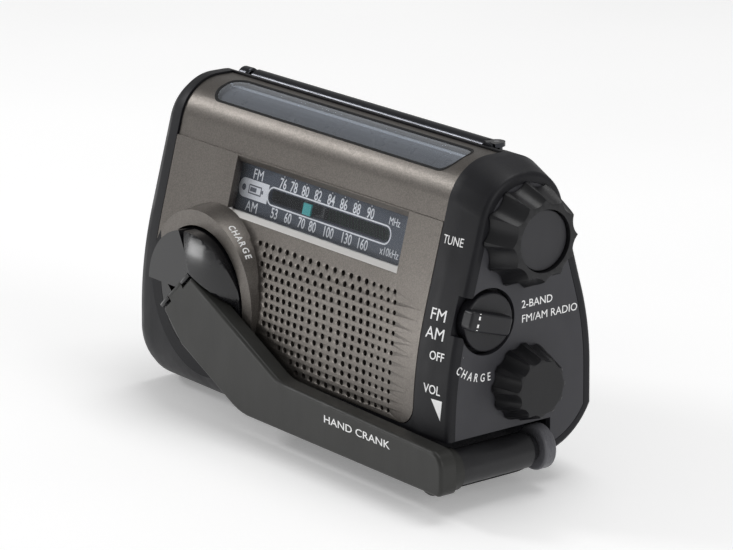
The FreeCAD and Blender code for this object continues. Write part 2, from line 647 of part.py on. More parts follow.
# ---------------------------------------------------------------- gears
def gear(teeth, module, y0, y1, x, z, turn):
    """Spur gear about a Y axis with straight-flanked teeth and running backlash."""
    pitch = module * teeth / 2
    root, tip = pitch - 1.2 * module, pitch + 0.9 * module
    step = 2 * math.pi / teeth
    points = []
    for i in range(teeth):
        centre = i * step + math.radians(turn)
        shape = ((root, -0.34), (pitch, -0.21), (tip, -0.1), (tip, 0.1), (pitch, 0.21), (root, 0.34))
        for radius, part in shape:
            angle = centre + part * step
            points.append(Vector(x + radius * math.cos(angle), y0, z + radius * math.sin(angle)))
    points.append(points[0])
    return Part.Face(Part.makePolygon(points)).extrude(Vector(0, y1 - y0, 0))


def polar(x, z, radius, degrees):
    angle = math.radians(degrees)
    return x + radius * math.cos(angle), z + radius * math.sin(angle)


FIRST_CENTRES = CRANK_MODULE * (CRANK_TEETH + IDLER_PINION_TEETH) / 2
SECOND_CENTRES = FAST_MODULE * (IDLER_TEETH + GENERATOR_TEETH) / 2
IDLER_X, IDLER_Z = polar(HUB_X, HUB_Z, FIRST_CENTRES, IDLER_DIRECTION)
GENERATOR_X, GENERATOR_Z = polar(IDLER_X, IDLER_Z, SECOND_CENTRES, GENERATOR_DIRECTION)


def make_crank_shaft():
    shaft = rod_y(3.0, -24.0, -14.4, HUB_X, HUB_Z)
    tail = rod_y(2.0, -14.4, -1.0, HUB_X, HUB_Z)
    return fuse(shaft, tail)


def make_drive_gear():
    # A tooth of the wheel points at the idler; the idler shows it a gap.
    wheel = gear(CRANK_TEETH, CRANK_MODULE, -12.0, -9.0, HUB_X, HUB_Z, IDLER_DIRECTION)
    hub = rod_y(4.6, -14.4, -9.0, HUB_X, HUB_Z)
    return fuse(wheel, hub).cut(rod_y(2.0, -20, 0, HUB_X, HUB_Z))


def make_idler_gear():
    half_tooth = 180.0 / IDLER_PINION_TEETH
    pinion = gear(IDLER_PINION_TEETH, CRANK_MODULE, -12.2, -8.6, IDLER_X, IDLER_Z,
                  IDLER_DIRECTION + 180 + half_tooth)
    wheel = gear(IDLER_TEETH, FAST_MODULE, -8.6, -6.8, IDLER_X, IDLER_Z, GENERATOR_DIRECTION)
    return fuse(pinion, wheel).cut(rod_y(1.0, -20, 0, IDLER_X, IDLER_Z))


def make_generator_rotor():
    half_tooth = 180.0 / GENERATOR_TEETH
    pinion = gear(GENERATOR_TEETH, FAST_MODULE, -9.0, -6.2, GENERATOR_X, GENERATOR_Z,
                  GENERATOR_DIRECTION + 180 + half_tooth)
    spindle = rod_y(0.9, -6.2, 0.4, GENERATOR_X, GENERATOR_Z)
    magnet = rod_y(5.6, -3.2, -0.6, GENERATOR_X, GENERATOR_Z)
    return fuse(pinion, spindle, magnet)


def make_generator_can():
    can = rod_y(7.6, -5.4, 1.2, GENERATOR_X, GENERATOR_Z)
    chamber = rod_y(6.2, -4.2, 0.0, GENERATOR_X, GENERATOR_Z)
    shaft_hole = rod_y(1.2, -6.0, 0.9, GENERATOR_X, GENERATOR_Z)
    return can.cut(chamber).cut(shaft_hole)


def make_gear_plate():
    """Plate behind the gears that carries the shafts, with a bearing tube for the crank."""
    plate = front_plate([(-50.0, 14.0, 3.0), (-50.0, 60.0, 6.0), (-16.0, 60.0, 6.0), (-16.0, 14.0, 3.0)],
                        -5.2, -3.6)
    plate = plate.cut(rod_y(7.8, -8, 2, GENERATOR_X, GENERATOR_Z))
    crank_bearing = rod_y(4.4, -7.6, -3.6, HUB_X, HUB_Z)
    idler_axle = rod_y(0.9, -12.0, -5.2, IDLER_X, IDLER_Z)
    legs = [rod_y(2.2, -3.6, 1.6, x, z) for x, z in ((-46.0, 18.0), (-46.0, 55.0), (-20.0, 18.0))]
    plate = fuse(plate, crank_bearing, idler_axle, *legs)
    return plate.cut(rod_y(2.1, -9, -2, HUB_X, HUB_Z))


# ---------------------------------------------------------------- side controls
def lobed_knob(centre, x0, x1, base_radius, face_radius, lobes, depth, valley):
    """Tapered knob with rounded flutes cut along its flank."""
    knob = cone_x(base_radius, face_radius, x0, x1, *centre)
    knob = knob.makeFillet(0.7, [e for e in knob.Edges if abs(e.BoundBox.XMin - x1) < 1e-3
                                 and abs(e.BoundBox.XMax - x1) < 1e-3])
    cutters = []
    for i in range(lobes):
        angle = 2 * math.pi * (i + 0.5) / lobes
        direction = (math.cos(angle), math.sin(angle))
        near = base_radius + valley - depth
        far = face_radius + valley - depth
        start = Vector(x0, centre[0] + near * direction[0], centre[1] + near * direction[1])
        end = Vector(x1, centre[0] + far * direction[0], centre[1] + far * direction[1])
        overrun = (end - start) * 0.5
        cutters.append(Part.makeCylinder(valley, (end - start).Length * 2, start - overrun, end - start))
    return knob.cut(Part.makeCompound(cutters))


def make_tuning_knob():
    knob = lobed_knob(TUNING, TUNING_BASE_X, TUNING_FACE_X, 12.2, 9.6, 12, 0.9, 4.6)
    seat = rod_x(7.2, TUNING_FACE_X - TUNING_DISH - 0.8, TUNING_FACE_X + 1, *TUNING)
    return knob.cut(seat).cut(rod_x(2.0, 59, 64.2, *TUNING))


def make_tuning_knob_cap():
    face_x = TUNING_FACE_X - TUNING_DISH
    cap = rod_x(7.0, face_x - 0.8, face_x + 0.4, *TUNING)
    return cap.makeFillet(0.3, [e for e in cap.Edges if abs(e.BoundBox.XMin - face_x - 0.4) < 1e-3])


def make_tuning_shaft():
    return rod_x(2.0, 46.5, 64.2, *TUNING)


def make_tuning_capacitor():
    y, z = TUNING
    case = box(36.0, 46.0, y - 7.0, y + 1.8, z - 8.0, z + 5.0)
    return case.fuse(rod_x(3.2, 46.0, 48.5, *TUNING)).cut(rod_x(2.1, 46.0, 60, *TUNING)).removeSplitter()


def make_volume_knob():
    knob = lobed_knob(VOLUME, VOLUME_BASE_X, VOLUME_FACE_X, 9.1, 6.9, 12, 0.55, 2.8)
    return knob.cut(rod_x(1.8, 59, 64.6, *VOLUME))


def make_volume_shaft():
    return rod_x(1.8, 50.5, 64.6, *VOLUME)


def make_volume_pot():
    y, z = VOLUME
    body = rod_x(6.0, 43.0, 49.4, y, z)
    return fuse(body, box(43.0, 44.5, y - 6.0, y + 2.2, z - 9.0, z))


def make_band_selector():
    disc = rod_x(6.8, 57.5, 60.4, *SELECTOR)
    disc = disc.makeFillet(0.5, [e for e in disc.Edges if abs(e.BoundBox.XMin - 60.4) < 1e-3])
    bar = side_plate(rectangle(-7.6, 4.6, -2.3, 2.3, 1.0), 60.0, 63.0)
    bar = bar.makeFillet(0.7, [e for e in bar.Edges if abs(e.BoundBox.XMin - 63.0) < 1e-3])
    bar.rotate(Vector(0, 0, 0), Vector(1, 0, 0), -SELECTOR_TILT)
    bar.translate(Vector(0, SELECTOR[0], SELECTOR[1]))
    stem = rod_x(1.8, 50.5, 57.5, *SELECTOR)
    return fuse(disc, bar, stem)


def make_band_switch():
    y, z = SELECTOR
    case = box(43.0, 49.8, y - 3.6, y + 8.0, z - 6.0, z + 6.0)
    return case.cut(rod_x(1.9, 49, 60, *SELECTOR))


# ---------------------------------------------------------------- electronics and power
def make_main_board():
    board = box(-50.0, 42.4, 1.6, 3.2, 9.0, 61.0)
    chips = [box(x, x + width, 3.2, 4.0, z, z + height)
             for x, width, z, height in ((-46.0, 9.0, 40.0, 9.0), (34.0, 8.0, 40.0, 5.0), (33.0, 6.0, 50.0, 6.0))]
    return fuse(board, *chips)


def make_ferrite_rod():
    return rod_x(2.6, -14.0, 34.5, 4.4, 67.2)


def make_antenna_coil():
    return rod_x(3.3, 16.0, 32.0, 4.4, 67.2).cut(rod_x(2.6, 10, 40, 4.4, 67.2))


def make_battery_pack():
    return rod_x(4.7, -10.0, 26.0, -3.6, 60.0)


def make_dry_cells():
    cells = []
    for z in CELL_HEIGHTS:
        body = rod_x(CELL_RADIUS, -CELL_LENGTH / 2, CELL_LENGTH / 2 - 1, CELL_Y, z)
        button = rod_x(2.7, CELL_LENGTH / 2 - 1, CELL_LENGTH / 2, CELL_Y, z)
        cells.append(fuse(body, button))
    return Part.makeCompound(cells)


def make_battery_bay():
    """Open-backed tray behind the door that holds the two cells."""
    tray = box(-28.6, 28.6, 3.3, 18.6, 12.4, 45.0)
    hollow = box(-27.2, 27.2, 4.2, 30.0, 13.6, 43.6)
    return tray.cut(hollow).common(body_prism(SHELL + 0.2, -60, 60))


def make_battery_contacts():
    plates = []
    for x0, x1 in ((-27.1, -26.5), (26.5, 27.1)):
        for z in CELL_HEIGHTS:
            plates.append(box(x0, x1, CELL_Y - 4.5, CELL_Y + 4.5, z - 4.5, z + 4.5))
    springs = [Part.makeCone(3.4, 2.0, 1.6, Vector(-26.5, CELL_Y, z), Vector(1, 0, 0)) for z in CELL_HEIGHTS]
    return Part.makeCompound([fuse(plates[0], springs[0]), fuse(plates[1], springs[1]), plates[2], plates[3]])


def make_lamp_reflector():
    shell = cone_x(7.0, 3.0, -58.6, -52.6, *LAMP)
    bowl = cone_x(6.6, 2.0, -58.7, -53.1, *LAMP)
    return shell.cut(bowl)


def make_lamp_lens():
    lens = rod_x(7.0, -60.4, -58.7, *LAMP)
    return lens.makeFillet(0.6, [e for e in lens.Edges if abs(e.BoundBox.XMax + 60.4) < 1e-3])


def make_lamp_switch():
    y, z = SWITCH
    foot = box(-58.0, -57.0, y - 2.6, y + 2.6, z - 6.2, z + 1.2)
    neck = box(-59.9, -58.0, y - 1.2, y + 1.2, z - 5.2, z + 0.2)
    thumb = side_plate(rectangle(y - 2.4, y + 2.4, z - 5.6, z + 0.6, 0.8), -62.2, -60.9)
    link = box(-60.9, -59.9, y - 1.2, y + 1.2, z - 5.2, z + 0.2)
    return fuse(foot, neck, link, thumb)


def make_earphone_jack():
    body = rod_x(2.9, -60.3, -48.0, *EARPHONE)
    return body.cut(rod_x(1.8, -61.0, -49.0, *EARPHONE))


def make_charge_jack():
    y, z = CHARGE
    body = box(-60.2, -50.0, y - 4.5, y + 4.5, z - 2.5, z + 2.5)
    mouth = box(-61.0, -52.0, y - 3.9, y + 3.9, z - 1.7, z + 1.7)
    tongue = box(-58.6, -52.0, y - 3.0, y + 3.0, z - 0.4, z + 0.4)
    return fuse(body.cut(mouth), tongue)


def make_jack_cover():
    y, z = CHARGE
    flap = side_plate(rectangle(y - 6.4, y + 6.4, JACK_HINGE_Z, z + 4.6, 1.0), -62.0, -60.7)
    barrel = Part.makeCylinder(0.8, 12.8, Vector(JACK_HINGE_X, y - 6.4, JACK_HINGE_Z), Vector(0, 1, 0))
    return fuse(flap, barrel).cut(
        Part.makeCylinder(0.35, 14, Vector(JACK_HINGE_X, y - 7, JACK_HINGE_Z), Vector(0, 1, 0)))


def make_strap_eyelet():
    bow = box(-63.4, -60.0, 11.4, 13.4, 44.0, 58.0)
    bow = bow.cut(box(-61.8, -59.0, 11.0, 14.0, 46.6, 55.4))
    return bow.cut(box(-60.5, -59.0, 11.0, 14.0, 40.0, 60.0))


def make_rubber_feet():
    feet = [rod_z(3.0, 0.0, 1.6, x, y) for x in (-45.0, 40.0) for y in (-9.0, 9.0)]
    return Part.makeCompound(feet)


def make_case_screws():
    screws = []
    for x, z in SCREW_PLACES:
        outside = 13.9 if z > 50 else 19.6
        head = rod_y(1.5, outside, outside + 1.2, x, z)
        shank = rod_y(0.8, outside - 6.0, outside, x, z)
        cross = box(x - 1.0, x + 1.0, outside + 0.6, outside + 2, z - 0.2, z + 0.2)
        cross = cross.fuse(box(x - 0.2, x + 0.2, outside + 0.6, outside + 2, z - 1.0, z + 1.0))
        screws.append(fuse(head, shank).cut(cross))
    return Part.makeCompound(screws)


# ---------------------------------------------------------------- antenna
def make_antenna_base():
    """Stub that turns about a front-to-back axis and carries the tilting knuckle."""
    stub = rod_y(2.3, CHANNEL_FRONT_Y + 0.1, CHANNEL_FRONT_Y + 0.9, ANTENNA_PIVOT_X, ANTENNA_Z)
    low, high = ANTENNA_Z - 2.1, ANTENNA_Z + 2.1
    fork = box(ANTENNA_PIVOT_X - 2.0, ANTENNA_PIVOT_X + 2.0, CHANNEL_FRONT_Y + 0.9, ANTENNA_Y, low, high)
    fork = fuse(fork, rod_z(2.0, low, high, ANTENNA_PIVOT_X, ANTENNA_Y))
    gap = box(ANTENNA_PIVOT_X - 3.0, ANTENNA_PIVOT_X + 3.0, ANTENNA_Y - 1.6, ANTENNA_Y + 3,
              ANTENNA_Z - 1.1, ANTENNA_Z + 1.1)
    return fuse(stub, fork).cut(gap).cut(rod_z(0.7, 60, 90, ANTENNA_PIVOT_X, ANTENNA_Y))


def make_antenna_pivot():
    return rod_z(0.7, ANTENNA_Z - 2.1, ANTENNA_Z + 2.1, ANTENNA_PIVOT_X, ANTENNA_Y)


def tube_left(index):
    return ANTENNA_LEFT + 3.0 - index * 0.8


def make_antenna_tube_1():
    tube = rod_x(TUBE_RADII[0], tube_left(0), ANTENNA_PIVOT_X - 2.4, ANTENNA_Y, ANTENNA_Z)
    eye = box(ANTENNA_PIVOT_X - 3.0, ANTENNA_PIVOT_X, ANTENNA_Y - 1.4, ANTENNA_Y + 1.4,
              ANTENNA_Z - 1.0, ANTENNA_Z + 1.0)
    eye = fuse(eye, rod_z(1.4, ANTENNA_Z - 1.0, ANTENNA_Z + 1.0, ANTENNA_PIVOT_X, ANTENNA_Y))
    tube = fuse(tube, eye).cut(rod_z(0.75, 60, 90, ANTENNA_PIVOT_X, ANTENNA_Y))
    return tube.cut(rod_x(TUBE_RADII[1] + 0.05, -60, ANTENNA_PIVOT_X - 5.0, ANTENNA_Y, ANTENNA_Z))


def make_antenna_tube_2():
    tube = rod_x(TUBE_RADII[1], tube_left(1), ANTENNA_PIVOT_X - 6.0, ANTENNA_Y, ANTENNA_Z)
    return tube.cut(rod_x(TUBE_RADII[2] + 0.05, -60, ANTENNA_PIVOT_X - 7.0, ANTENNA_Y, ANTENNA_Z))


def make_antenna_tube_3():
    tube = rod_x(TUBE_RADII[2], tube_left(2) - 0.4, ANTENNA_PIVOT_X - 8.0, ANTENNA_Y, ANTENNA_Z)
    tip = rod_x(2.2, tube_left(2) - 4.4, tube_left(2) - 0.4, ANTENNA_Y, ANTENNA_Z)
    tip = tip.makeFillet(0.8, [e for e in tip.Edges if e.Curve.TypeId == "Part::GeomCircle"])
    return fuse(tube, tip)


# ---------------------------------------------------------------- all sub-parts
PIECES = {
    "left_cap": make_left_cap,
    "right_cap": make_right_cap,
    "control_panel": make_control_panel,
    "front_panel": make_front_panel,
    "front_base": make_front_base,
    "rear_housing": make_rear_housing,
    "battery_door": make_battery_door,
    "crank_ring": make_crank_ring,
    "solar_window": make_solar_window,
    "solar_cell": make_solar_cell,
    "dial_window": make_dial_window,
    "dial_scale": make_dial_scale,
    "dial_pointer": make_dial_pointer,
    "grille_cloth": make_grille_cloth,
    "speaker_frame": make_speaker_frame,
    "speaker_cone": make_speaker_cone,
    "speaker_magnet": make_speaker_magnet,
    "crank_rotor": make_crank_rotor,
    "crank_hinge_pin": make_hinge_pin,
    "crank_arm": make_crank_arm,
    "grip_pin": make_grip_pin,
    "grip_sleeve": make_grip_sleeve,
    "grip_cap": make_grip_cap,
    "crank_shaft": make_crank_shaft,
    "drive_gear": make_drive_gear,
    "idler_gear": make_idler_gear,
    "generator_rotor": make_generator_rotor,
    "generator_can": make_generator_can,
    "gear_plate": make_gear_plate,
    "tuning_knob": make_tuning_knob,
    "tuning_knob_cap": make_tuning_knob_cap,
    "tuning_shaft": make_tuning_shaft,
    "tuning_capacitor": make_tuning_capacitor,
    "band_selector": make_band_selector,
    "band_switch": make_band_switch,
    "volume_knob": make_volume_knob,
    "volume_shaft": make_volume_shaft,
    "volume_pot": make_volume_pot,
    "main_board": make_main_board,
    "ferrite_rod": make_ferrite_rod,
    "antenna_coil": make_antenna_coil,
    "battery_pack": make_battery_pack,
    "dry_cells": make_dry_cells,
    "battery_bay": make_battery_bay,
    "battery_contacts": make_battery_contacts,
    "lamp_lens": make_lamp_lens,
    "lamp_reflector": make_lamp_reflector,
    "lamp_switch": make_lamp_switch,
    "earphone_jack": make_earphone_jack,
    "charge_jack": make_charge_jack,
    "jack_cover": make_jack_cover,
    "strap_eyelet": make_strap_eyelet,
    "rubber_feet": make_rubber_feet,
    "case_screws": make_case_screws,
    "antenna_base": make_antenna_base,
    "antenna_pivot": make_antenna_pivot,
    "antenna_tube_1": make_antenna_tube_1,
    "antenna_tube_2": make_antenna_tube_2,
    "antenna_tube_3": make_antenna_tube_3,
}

os.makedirs("parts", exist_ok=True)
for name, make in PIECES.items():
    export(name, make())
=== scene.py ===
import bpy
import bmesh
import json
import math
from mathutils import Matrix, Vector
from mathutils.bvhtree import BVHTree


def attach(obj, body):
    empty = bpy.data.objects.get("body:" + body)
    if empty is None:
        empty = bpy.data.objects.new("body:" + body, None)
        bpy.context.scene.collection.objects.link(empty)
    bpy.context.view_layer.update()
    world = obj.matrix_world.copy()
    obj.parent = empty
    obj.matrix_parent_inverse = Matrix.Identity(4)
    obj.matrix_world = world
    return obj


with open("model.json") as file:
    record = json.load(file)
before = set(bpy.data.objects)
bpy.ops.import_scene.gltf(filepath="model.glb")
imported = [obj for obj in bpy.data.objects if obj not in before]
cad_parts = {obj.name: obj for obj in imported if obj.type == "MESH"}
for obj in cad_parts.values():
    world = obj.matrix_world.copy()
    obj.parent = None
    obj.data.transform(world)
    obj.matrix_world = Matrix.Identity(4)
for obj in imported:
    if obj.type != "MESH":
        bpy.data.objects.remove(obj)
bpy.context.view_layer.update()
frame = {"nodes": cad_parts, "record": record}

# Hand-cranked AM/FM emergency radio: materials, printed marks and small details round the CAD frame.
# Metres. X runs to the right seen from the front, Y to the back, Z up.
MM = 0.001
HUB_X, HUB_Z = -31.2 * MM, 29.8 * MM
RING_RADIUS, RING_FACE_Y, RING_FLARE = 20.6 * MM, -24.2 * MM, 0.12
PANEL_LEFT, PANEL_BOTTOM = -47.5 * MM, 17.2 * MM
# The front face is a plane that leans back: it passes through this Y at this Z, with this slope dY/dZ.
FACE_Y, FACE_Z, FACE_SLOPE = -22.9 * MM, 32.0 * MM, 0.26444
# The ledge below the dial, which carries a painted highlight: its heights, and its depths behind the front
# face, in millimetres.
LEDGE_LOW, LEDGE_HIGH = 49.3, 50.8
LEDGE_FRONT, LEDGE_BACK = 0.1, 1.6
# Depth behind the front face beyond which the pointer gets painted shade in black.
FLAG_DEPTH = 3.5 * MM
# Middle of the band selector on the right end, as Y and Z in millimetres, and the turn of its bar.
SELECTOR_CENTRE = (-10.7, 42.3)
SELECTOR_ANGLE = math.radians(-17.0)

# ---------------------------------------------------------------- camera
AZIMUTH, ELEVATION = math.radians(52.0), math.radians(16.3)
TARGET = Vector((-0.002, 0.0035, 0.0363))
DISTANCE = 0.8333
LENS_MM, SENSOR_MM = 171.9, 36.0

outward = Vector((math.sin(AZIMUTH) * math.cos(ELEVATION),
                  -math.cos(AZIMUTH) * math.cos(ELEVATION),
                  math.sin(ELEVATION)))
camera_data = bpy.data.cameras.new("camera")
camera_data.lens = LENS_MM
camera_data.sensor_width = SENSOR_MM
camera_data.clip_start = 0.05
camera = bpy.data.objects.new("camera", camera_data)
camera.location = TARGET + outward * DISTANCE
camera.rotation_euler = (-outward).to_track_quat("-Z", "Y").to_euler()
bpy.context.scene.collection.objects.link(camera)
bpy.context.scene.camera = camera
bpy.context.scene.view_settings.view_transform = "Standard"


# ---------------------------------------------------------------- materials
for imported in list(bpy.data.materials):
    bpy.data.materials.remove(imported)


def srgb(red, green, blue):
    """Linear colour with alpha from 0-255 display values."""
    values = []
    for channel in (red, green, blue):
        c = channel / 255.0
        values.append(c / 12.92 if c <= 0.04045 else ((c + 0.055) / 1.055) ** 2.4)
    return (*values, 1.0)


class Shader:
    """Builds one procedural material node by node, in object coordinates. Sizes are in millimetres."""

    def __init__(self, name):
        self.material = bpy.data.materials.new(name)
        self.material.use_nodes = True
        self.tree = self.material.node_tree
        self.tree.nodes.clear()
        self.output = self.add("ShaderNodeOutputMaterial")
        self.coords = self.add("ShaderNodeTexCoord").outputs["Object"]

    def add(self, kind, **settings):
        """New node of a kind, with its settings."""
        node = self.tree.nodes.new(kind)
        for key, value in settings.items():
            setattr(node, key, value)
        return node

    def link(self, source, target):
        """Connects an output to an input."""
        self.tree.links.new(source, target)

    def noise(self, size_mm, detail=3.0, rough=0.55, coords=None):
        """Fractal noise whose largest features have a given size."""
        node = self.add("ShaderNodeTexNoise")
        node.inputs["Scale"].default_value = 1.0 / (size_mm * MM)
        node.inputs["Detail"].default_value = detail
        node.inputs["Roughness"].default_value = rough
        self.link(coords or self.coords, node.inputs["Vector"])
        return node.outputs["Fac"]

    def stretched(self, sx, sy, sz):
        """Object coordinates scaled along each axis: a small factor draws features out along it."""
        node = self.add("ShaderNodeMapping")
        node.inputs["Scale"].default_value = (sx, sy, sz)
        self.link(self.coords, node.inputs["Vector"])
        return node.outputs["Vector"]

    def range(self, value, low, high, from_low=0.3, from_high=0.7):
        """Maps a value onto low to high, clamped at both ends."""
        node = self.add("ShaderNodeMapRange")
        node.inputs["From Min"].default_value = from_low
        node.inputs["From Max"].default_value = from_high
        node.inputs["To Min"].default_value = low
        node.inputs["To Max"].default_value = high
        self.link(value, node.inputs["Value"])
        return node.outputs["Result"]

    def mix(self, factor, first, second):
        """Blend of two colours, each a plain colour or a socket."""
        node = self.add("ShaderNodeMix", data_type="RGBA")
        self.link(factor, node.inputs["Factor"])
        for socket, colour in ((node.inputs[6], first), (node.inputs[7], second)):
            if isinstance(colour, tuple):
                socket.default_value = colour
            else:
                self.link(colour, socket)
        return node.outputs[2]

    def math(self, operation, first, second=None):
        """One step of arithmetic on numbers or sockets."""
        node = self.add("ShaderNodeMath", operation=operation)
        for socket, value in zip(node.inputs, (first, second)):
            if value is None:
                continue
            if isinstance(value, (int, float)):
                socket.default_value = value
            else:
                self.link(value, socket)
        return node.outputs[0]

    def axis(self, name):
        """One object coordinate: X, Y or Z."""
        node = self.add("ShaderNodeSeparateXYZ")
        self.link(self.coords, node.inputs[0])
        return node.outputs[name]

    def bump(self, height, depth_mm, strength=1.0, before=None):
        """Surface normal bent by a height, on top of an earlier bump if there is one."""
        node = self.add("ShaderNodeBump")
        node.inputs["Distance"].default_value = depth_mm * MM
        node.inputs["Strength"].default_value = strength
        self.link(height, node.inputs["Height"])
        if before is not None:
            self.link(before, node.inputs["Normal"])
        return node.outputs["Normal"]

    def principled(self, colour=None, rough=None, normal=None, metallic=0.0, **uniform):
        """Surface shader of the material. Extra inputs take plain values, with _ for a space."""
        node = self.add("ShaderNodeBsdfPrincipled")
        node.inputs["Metallic"].default_value = metallic
        for socket, value in ((node.inputs["Base Color"], colour), (node.inputs["Roughness"], rough)):
            if isinstance(value, (tuple, float)):
                socket.default_value = value
            elif value is not None:
                self.link(value, socket)
        if normal is not None:
            self.link(normal, node.inputs["Normal"])
        for key, value in uniform.items():
            node.inputs[key.replace("_", " ")].default_value = value
        self.link(node.outputs["BSDF"], self.output.inputs["Surface"])


def moulded(name, colour, rough, grain_mm=0.32, grain_depth=0.02, spread=0.35, **uniform):
    """Moulded plastic: fine spark-eroded grain, slight colour drift and handling marks."""
    s = Shader(name)
    drift = s.noise(11.0, 4.0)
    grain = s.noise(grain_mm, 2.0, 0.6)
    darker = tuple(c * (1 - spread) for c in colour[:3]) + (1.0,)
    lighter = tuple(min(1.0, c * (1 + spread)) for c in colour[:3]) + (1.0,)
    tone = s.mix(s.range(drift, 0.0, 1.0), darker, lighter)
    speck = s.mix(s.range(grain, 0.0, 1.0, 0.25, 0.75), tone, colour)
    smear = s.noise(5.0, 5.0, 0.65, s.stretched(1.0, 1.0, 0.35))
    gloss = s.range(smear, rough - 0.06, rough + 0.07)
    normal = s.bump(grain, grain_depth, 0.9)
    uniform.setdefault("Specular_IOR_Level", 0.34)
    s.principled(speck, gloss, normal, **uniform)
    return s.material


def metal(name, colour, rough, grain_mm=0.2, grain_depth=0.004, metallic=1.0, brushed=None, **uniform):
    """Metal with fine grain or, where brushed gives stretch factors, drawn lines."""
    s = Shader(name)
    coords = s.stretched(*brushed) if brushed else s.coords
    grain = s.noise(grain_mm, 3.0, 0.6, coords)
    patches = s.noise(8.0, 4.0)
    darker = tuple(c * 0.82 for c in colour[:3]) + (1.0,)
    tone = s.mix(s.range(patches, 0.0, 1.0), darker, colour)
    gloss = s.range(grain, rough - 0.05, rough + 0.08)
    normal = s.bump(grain, grain_depth)
    s.principled(tone, gloss, normal, metallic, **uniform)
    return s.material


def gunmetal(s):
    """Colour, roughness and bump of warm gunmetal lacquer: fine flakes under a thin satin coat."""
    flakes = s.add("ShaderNodeTexVoronoi", feature="F1")
    flakes.inputs["Scale"].default_value = 1.0 / (0.22 * MM)
    s.link(s.coords, flakes.inputs["Vector"])
    sparkle = s.add("ShaderNodeSeparateColor")
    s.link(flakes.outputs["Color"], sparkle.inputs[0])
    clouds = s.noise(26.0, 3.0)
    tone = s.mix(s.range(clouds, 0.0, 1.0), srgb(91, 87, 83), srgb(100, 96, 92))
    lit = s.mix(s.range(sparkle.outputs[0], 0.0, 0.34, 0.0, 1.0), tone, srgb(139, 133, 127))
    gloss = s.range(sparkle.outputs[1], 0.34, 0.44, 0.0, 1.0)
    orange_peel = s.noise(1.6, 2.0)
    normal = s.bump(orange_peel, 0.006, 0.6, s.bump(sparkle.outputs[2], 0.004, 0.5))
    return lit, gloss, normal


def within(s, value, low_mm, high_mm):
    """1 where a coordinate lies between two distances in millimetres, 0 elsewhere."""
    above = s.math("GREATER_THAN", value, low_mm * MM)
    return s.math("MULTIPLY", above, s.math("LESS_THAN", value, high_mm * MM))


def depth_behind_face(s):
    """Distance behind the leaning front face, along Y."""
    lean = s.math("MULTIPLY", s.math("SUBTRACT", s.axis("Z"), FACE_Z), FACE_SLOPE)
    return s.math("SUBTRACT", s.math("SUBTRACT", s.axis("Y"), FACE_Y), lean)


def panel_paint():
    """Front panel: gunmetal lacquer, with a painted highlight in near white on the ledge below the dial.
    """
    s = Shader("panel_metal")
    lit, gloss, normal = gunmetal(s)
    # Painted highlight: the ledge below the dial faces up into the light, so it is coloured near white.
    deep_enough = within(s, depth_behind_face(s), LEDGE_FRONT, LEDGE_BACK)
    ledge = s.math("MULTIPLY", deep_enough, within(s, s.axis("Z"), LEDGE_LOW, LEDGE_HIGH))
    tone = s.mix(ledge, lit, srgb(240, 238, 235))
    s.principled(tone, gloss, normal, 0.86)
    return s.material


def ring_paint():
    """Crank ring: painted like the panel, but black where it lies over the left cap and the base."""
    s = Shader("ring_metal")
    lit, gloss, normal = gunmetal(s)
    over_cap = s.math("LESS_THAN", s.axis("X"), PANEL_LEFT)
    over_base = s.math("LESS_THAN", s.axis("Z"), PANEL_BOTTOM)
    left = s.math("LESS_THAN", s.axis("X"), HUB_X)
    low = s.math("LESS_THAN", s.axis("Z"), HUB_Z)
    black_part = s.math("MAXIMUM", s.math("MAXIMUM", over_cap, over_base), s.math("MULTIPLY", left, low))
    tone = s.mix(black_part, lit, srgb(20, 20, 23))
    s.principled(tone, gloss, normal, 0.8)
    return s.material


def clear_plastic(name, tint, least_share, rough=0.06, rim_share=0.3):
    """Clear moulded window: see-through, with more gloss at grazing angles, up to rim_share."""
    s = Shader(name)
    ripple = s.bump(s.noise(7.0, 2.0), 0.004, 0.5)
    see_through = s.add("ShaderNodeBsdfTransparent")
    see_through.inputs["Color"].default_value = tint
    gloss = s.add("ShaderNodeBsdfGlossy")
    gloss.inputs["Color"].default_value = srgb(235, 238, 242)
    s.link(s.range(s.noise(3.0, 4.0), rough, rough + 0.06), gloss.inputs["Roughness"])
    s.link(ripple, gloss.inputs["Normal"])
    facing = s.add("ShaderNodeLayerWeight")
    facing.inputs["Blend"].default_value = 0.5
    rim = s.math("MINIMUM", s.math("POWER", facing.outputs["Facing"], 4.0), rim_share)
    share = s.math("ADD", rim, least_share)
    mixed = s.add("ShaderNodeMixShader")
    s.link(share, mixed.inputs[0])
    s.link(see_through.outputs[0], mixed.inputs[1])
    s.link(gloss.outputs[0], mixed.inputs[2])
    s.link(mixed.outputs[0], s.output.inputs["Surface"])
    return s.material


def grid_lines(s, value, pitch_mm, width_mm):
    """1 on thin lines every pitch along a coordinate, 0 between them."""
    phase = s.math("FRACT", s.math("DIVIDE", value, pitch_mm * MM))
    return s.math("LESS_THAN", phase, width_mm / pitch_mm)


CELL_PITCH, CELL_GAP = 18.2, 0.6
FINGER_PITCH, FINGER_WIDTH = 1.3, 0.3
# Depths of the painted reflection on the solar strip: where the lighter gradient runs, and where the white
# band lies.
STRIP_FRONT, STRIP_REAR = -9.0 * MM, -2.5 * MM
REFLECTION_BAND_FRONT = (-3.7 * MM, -3.2 * MM)
REFLECTION_BAND_REAR = (-2.3 * MM, -2.0 * MM)


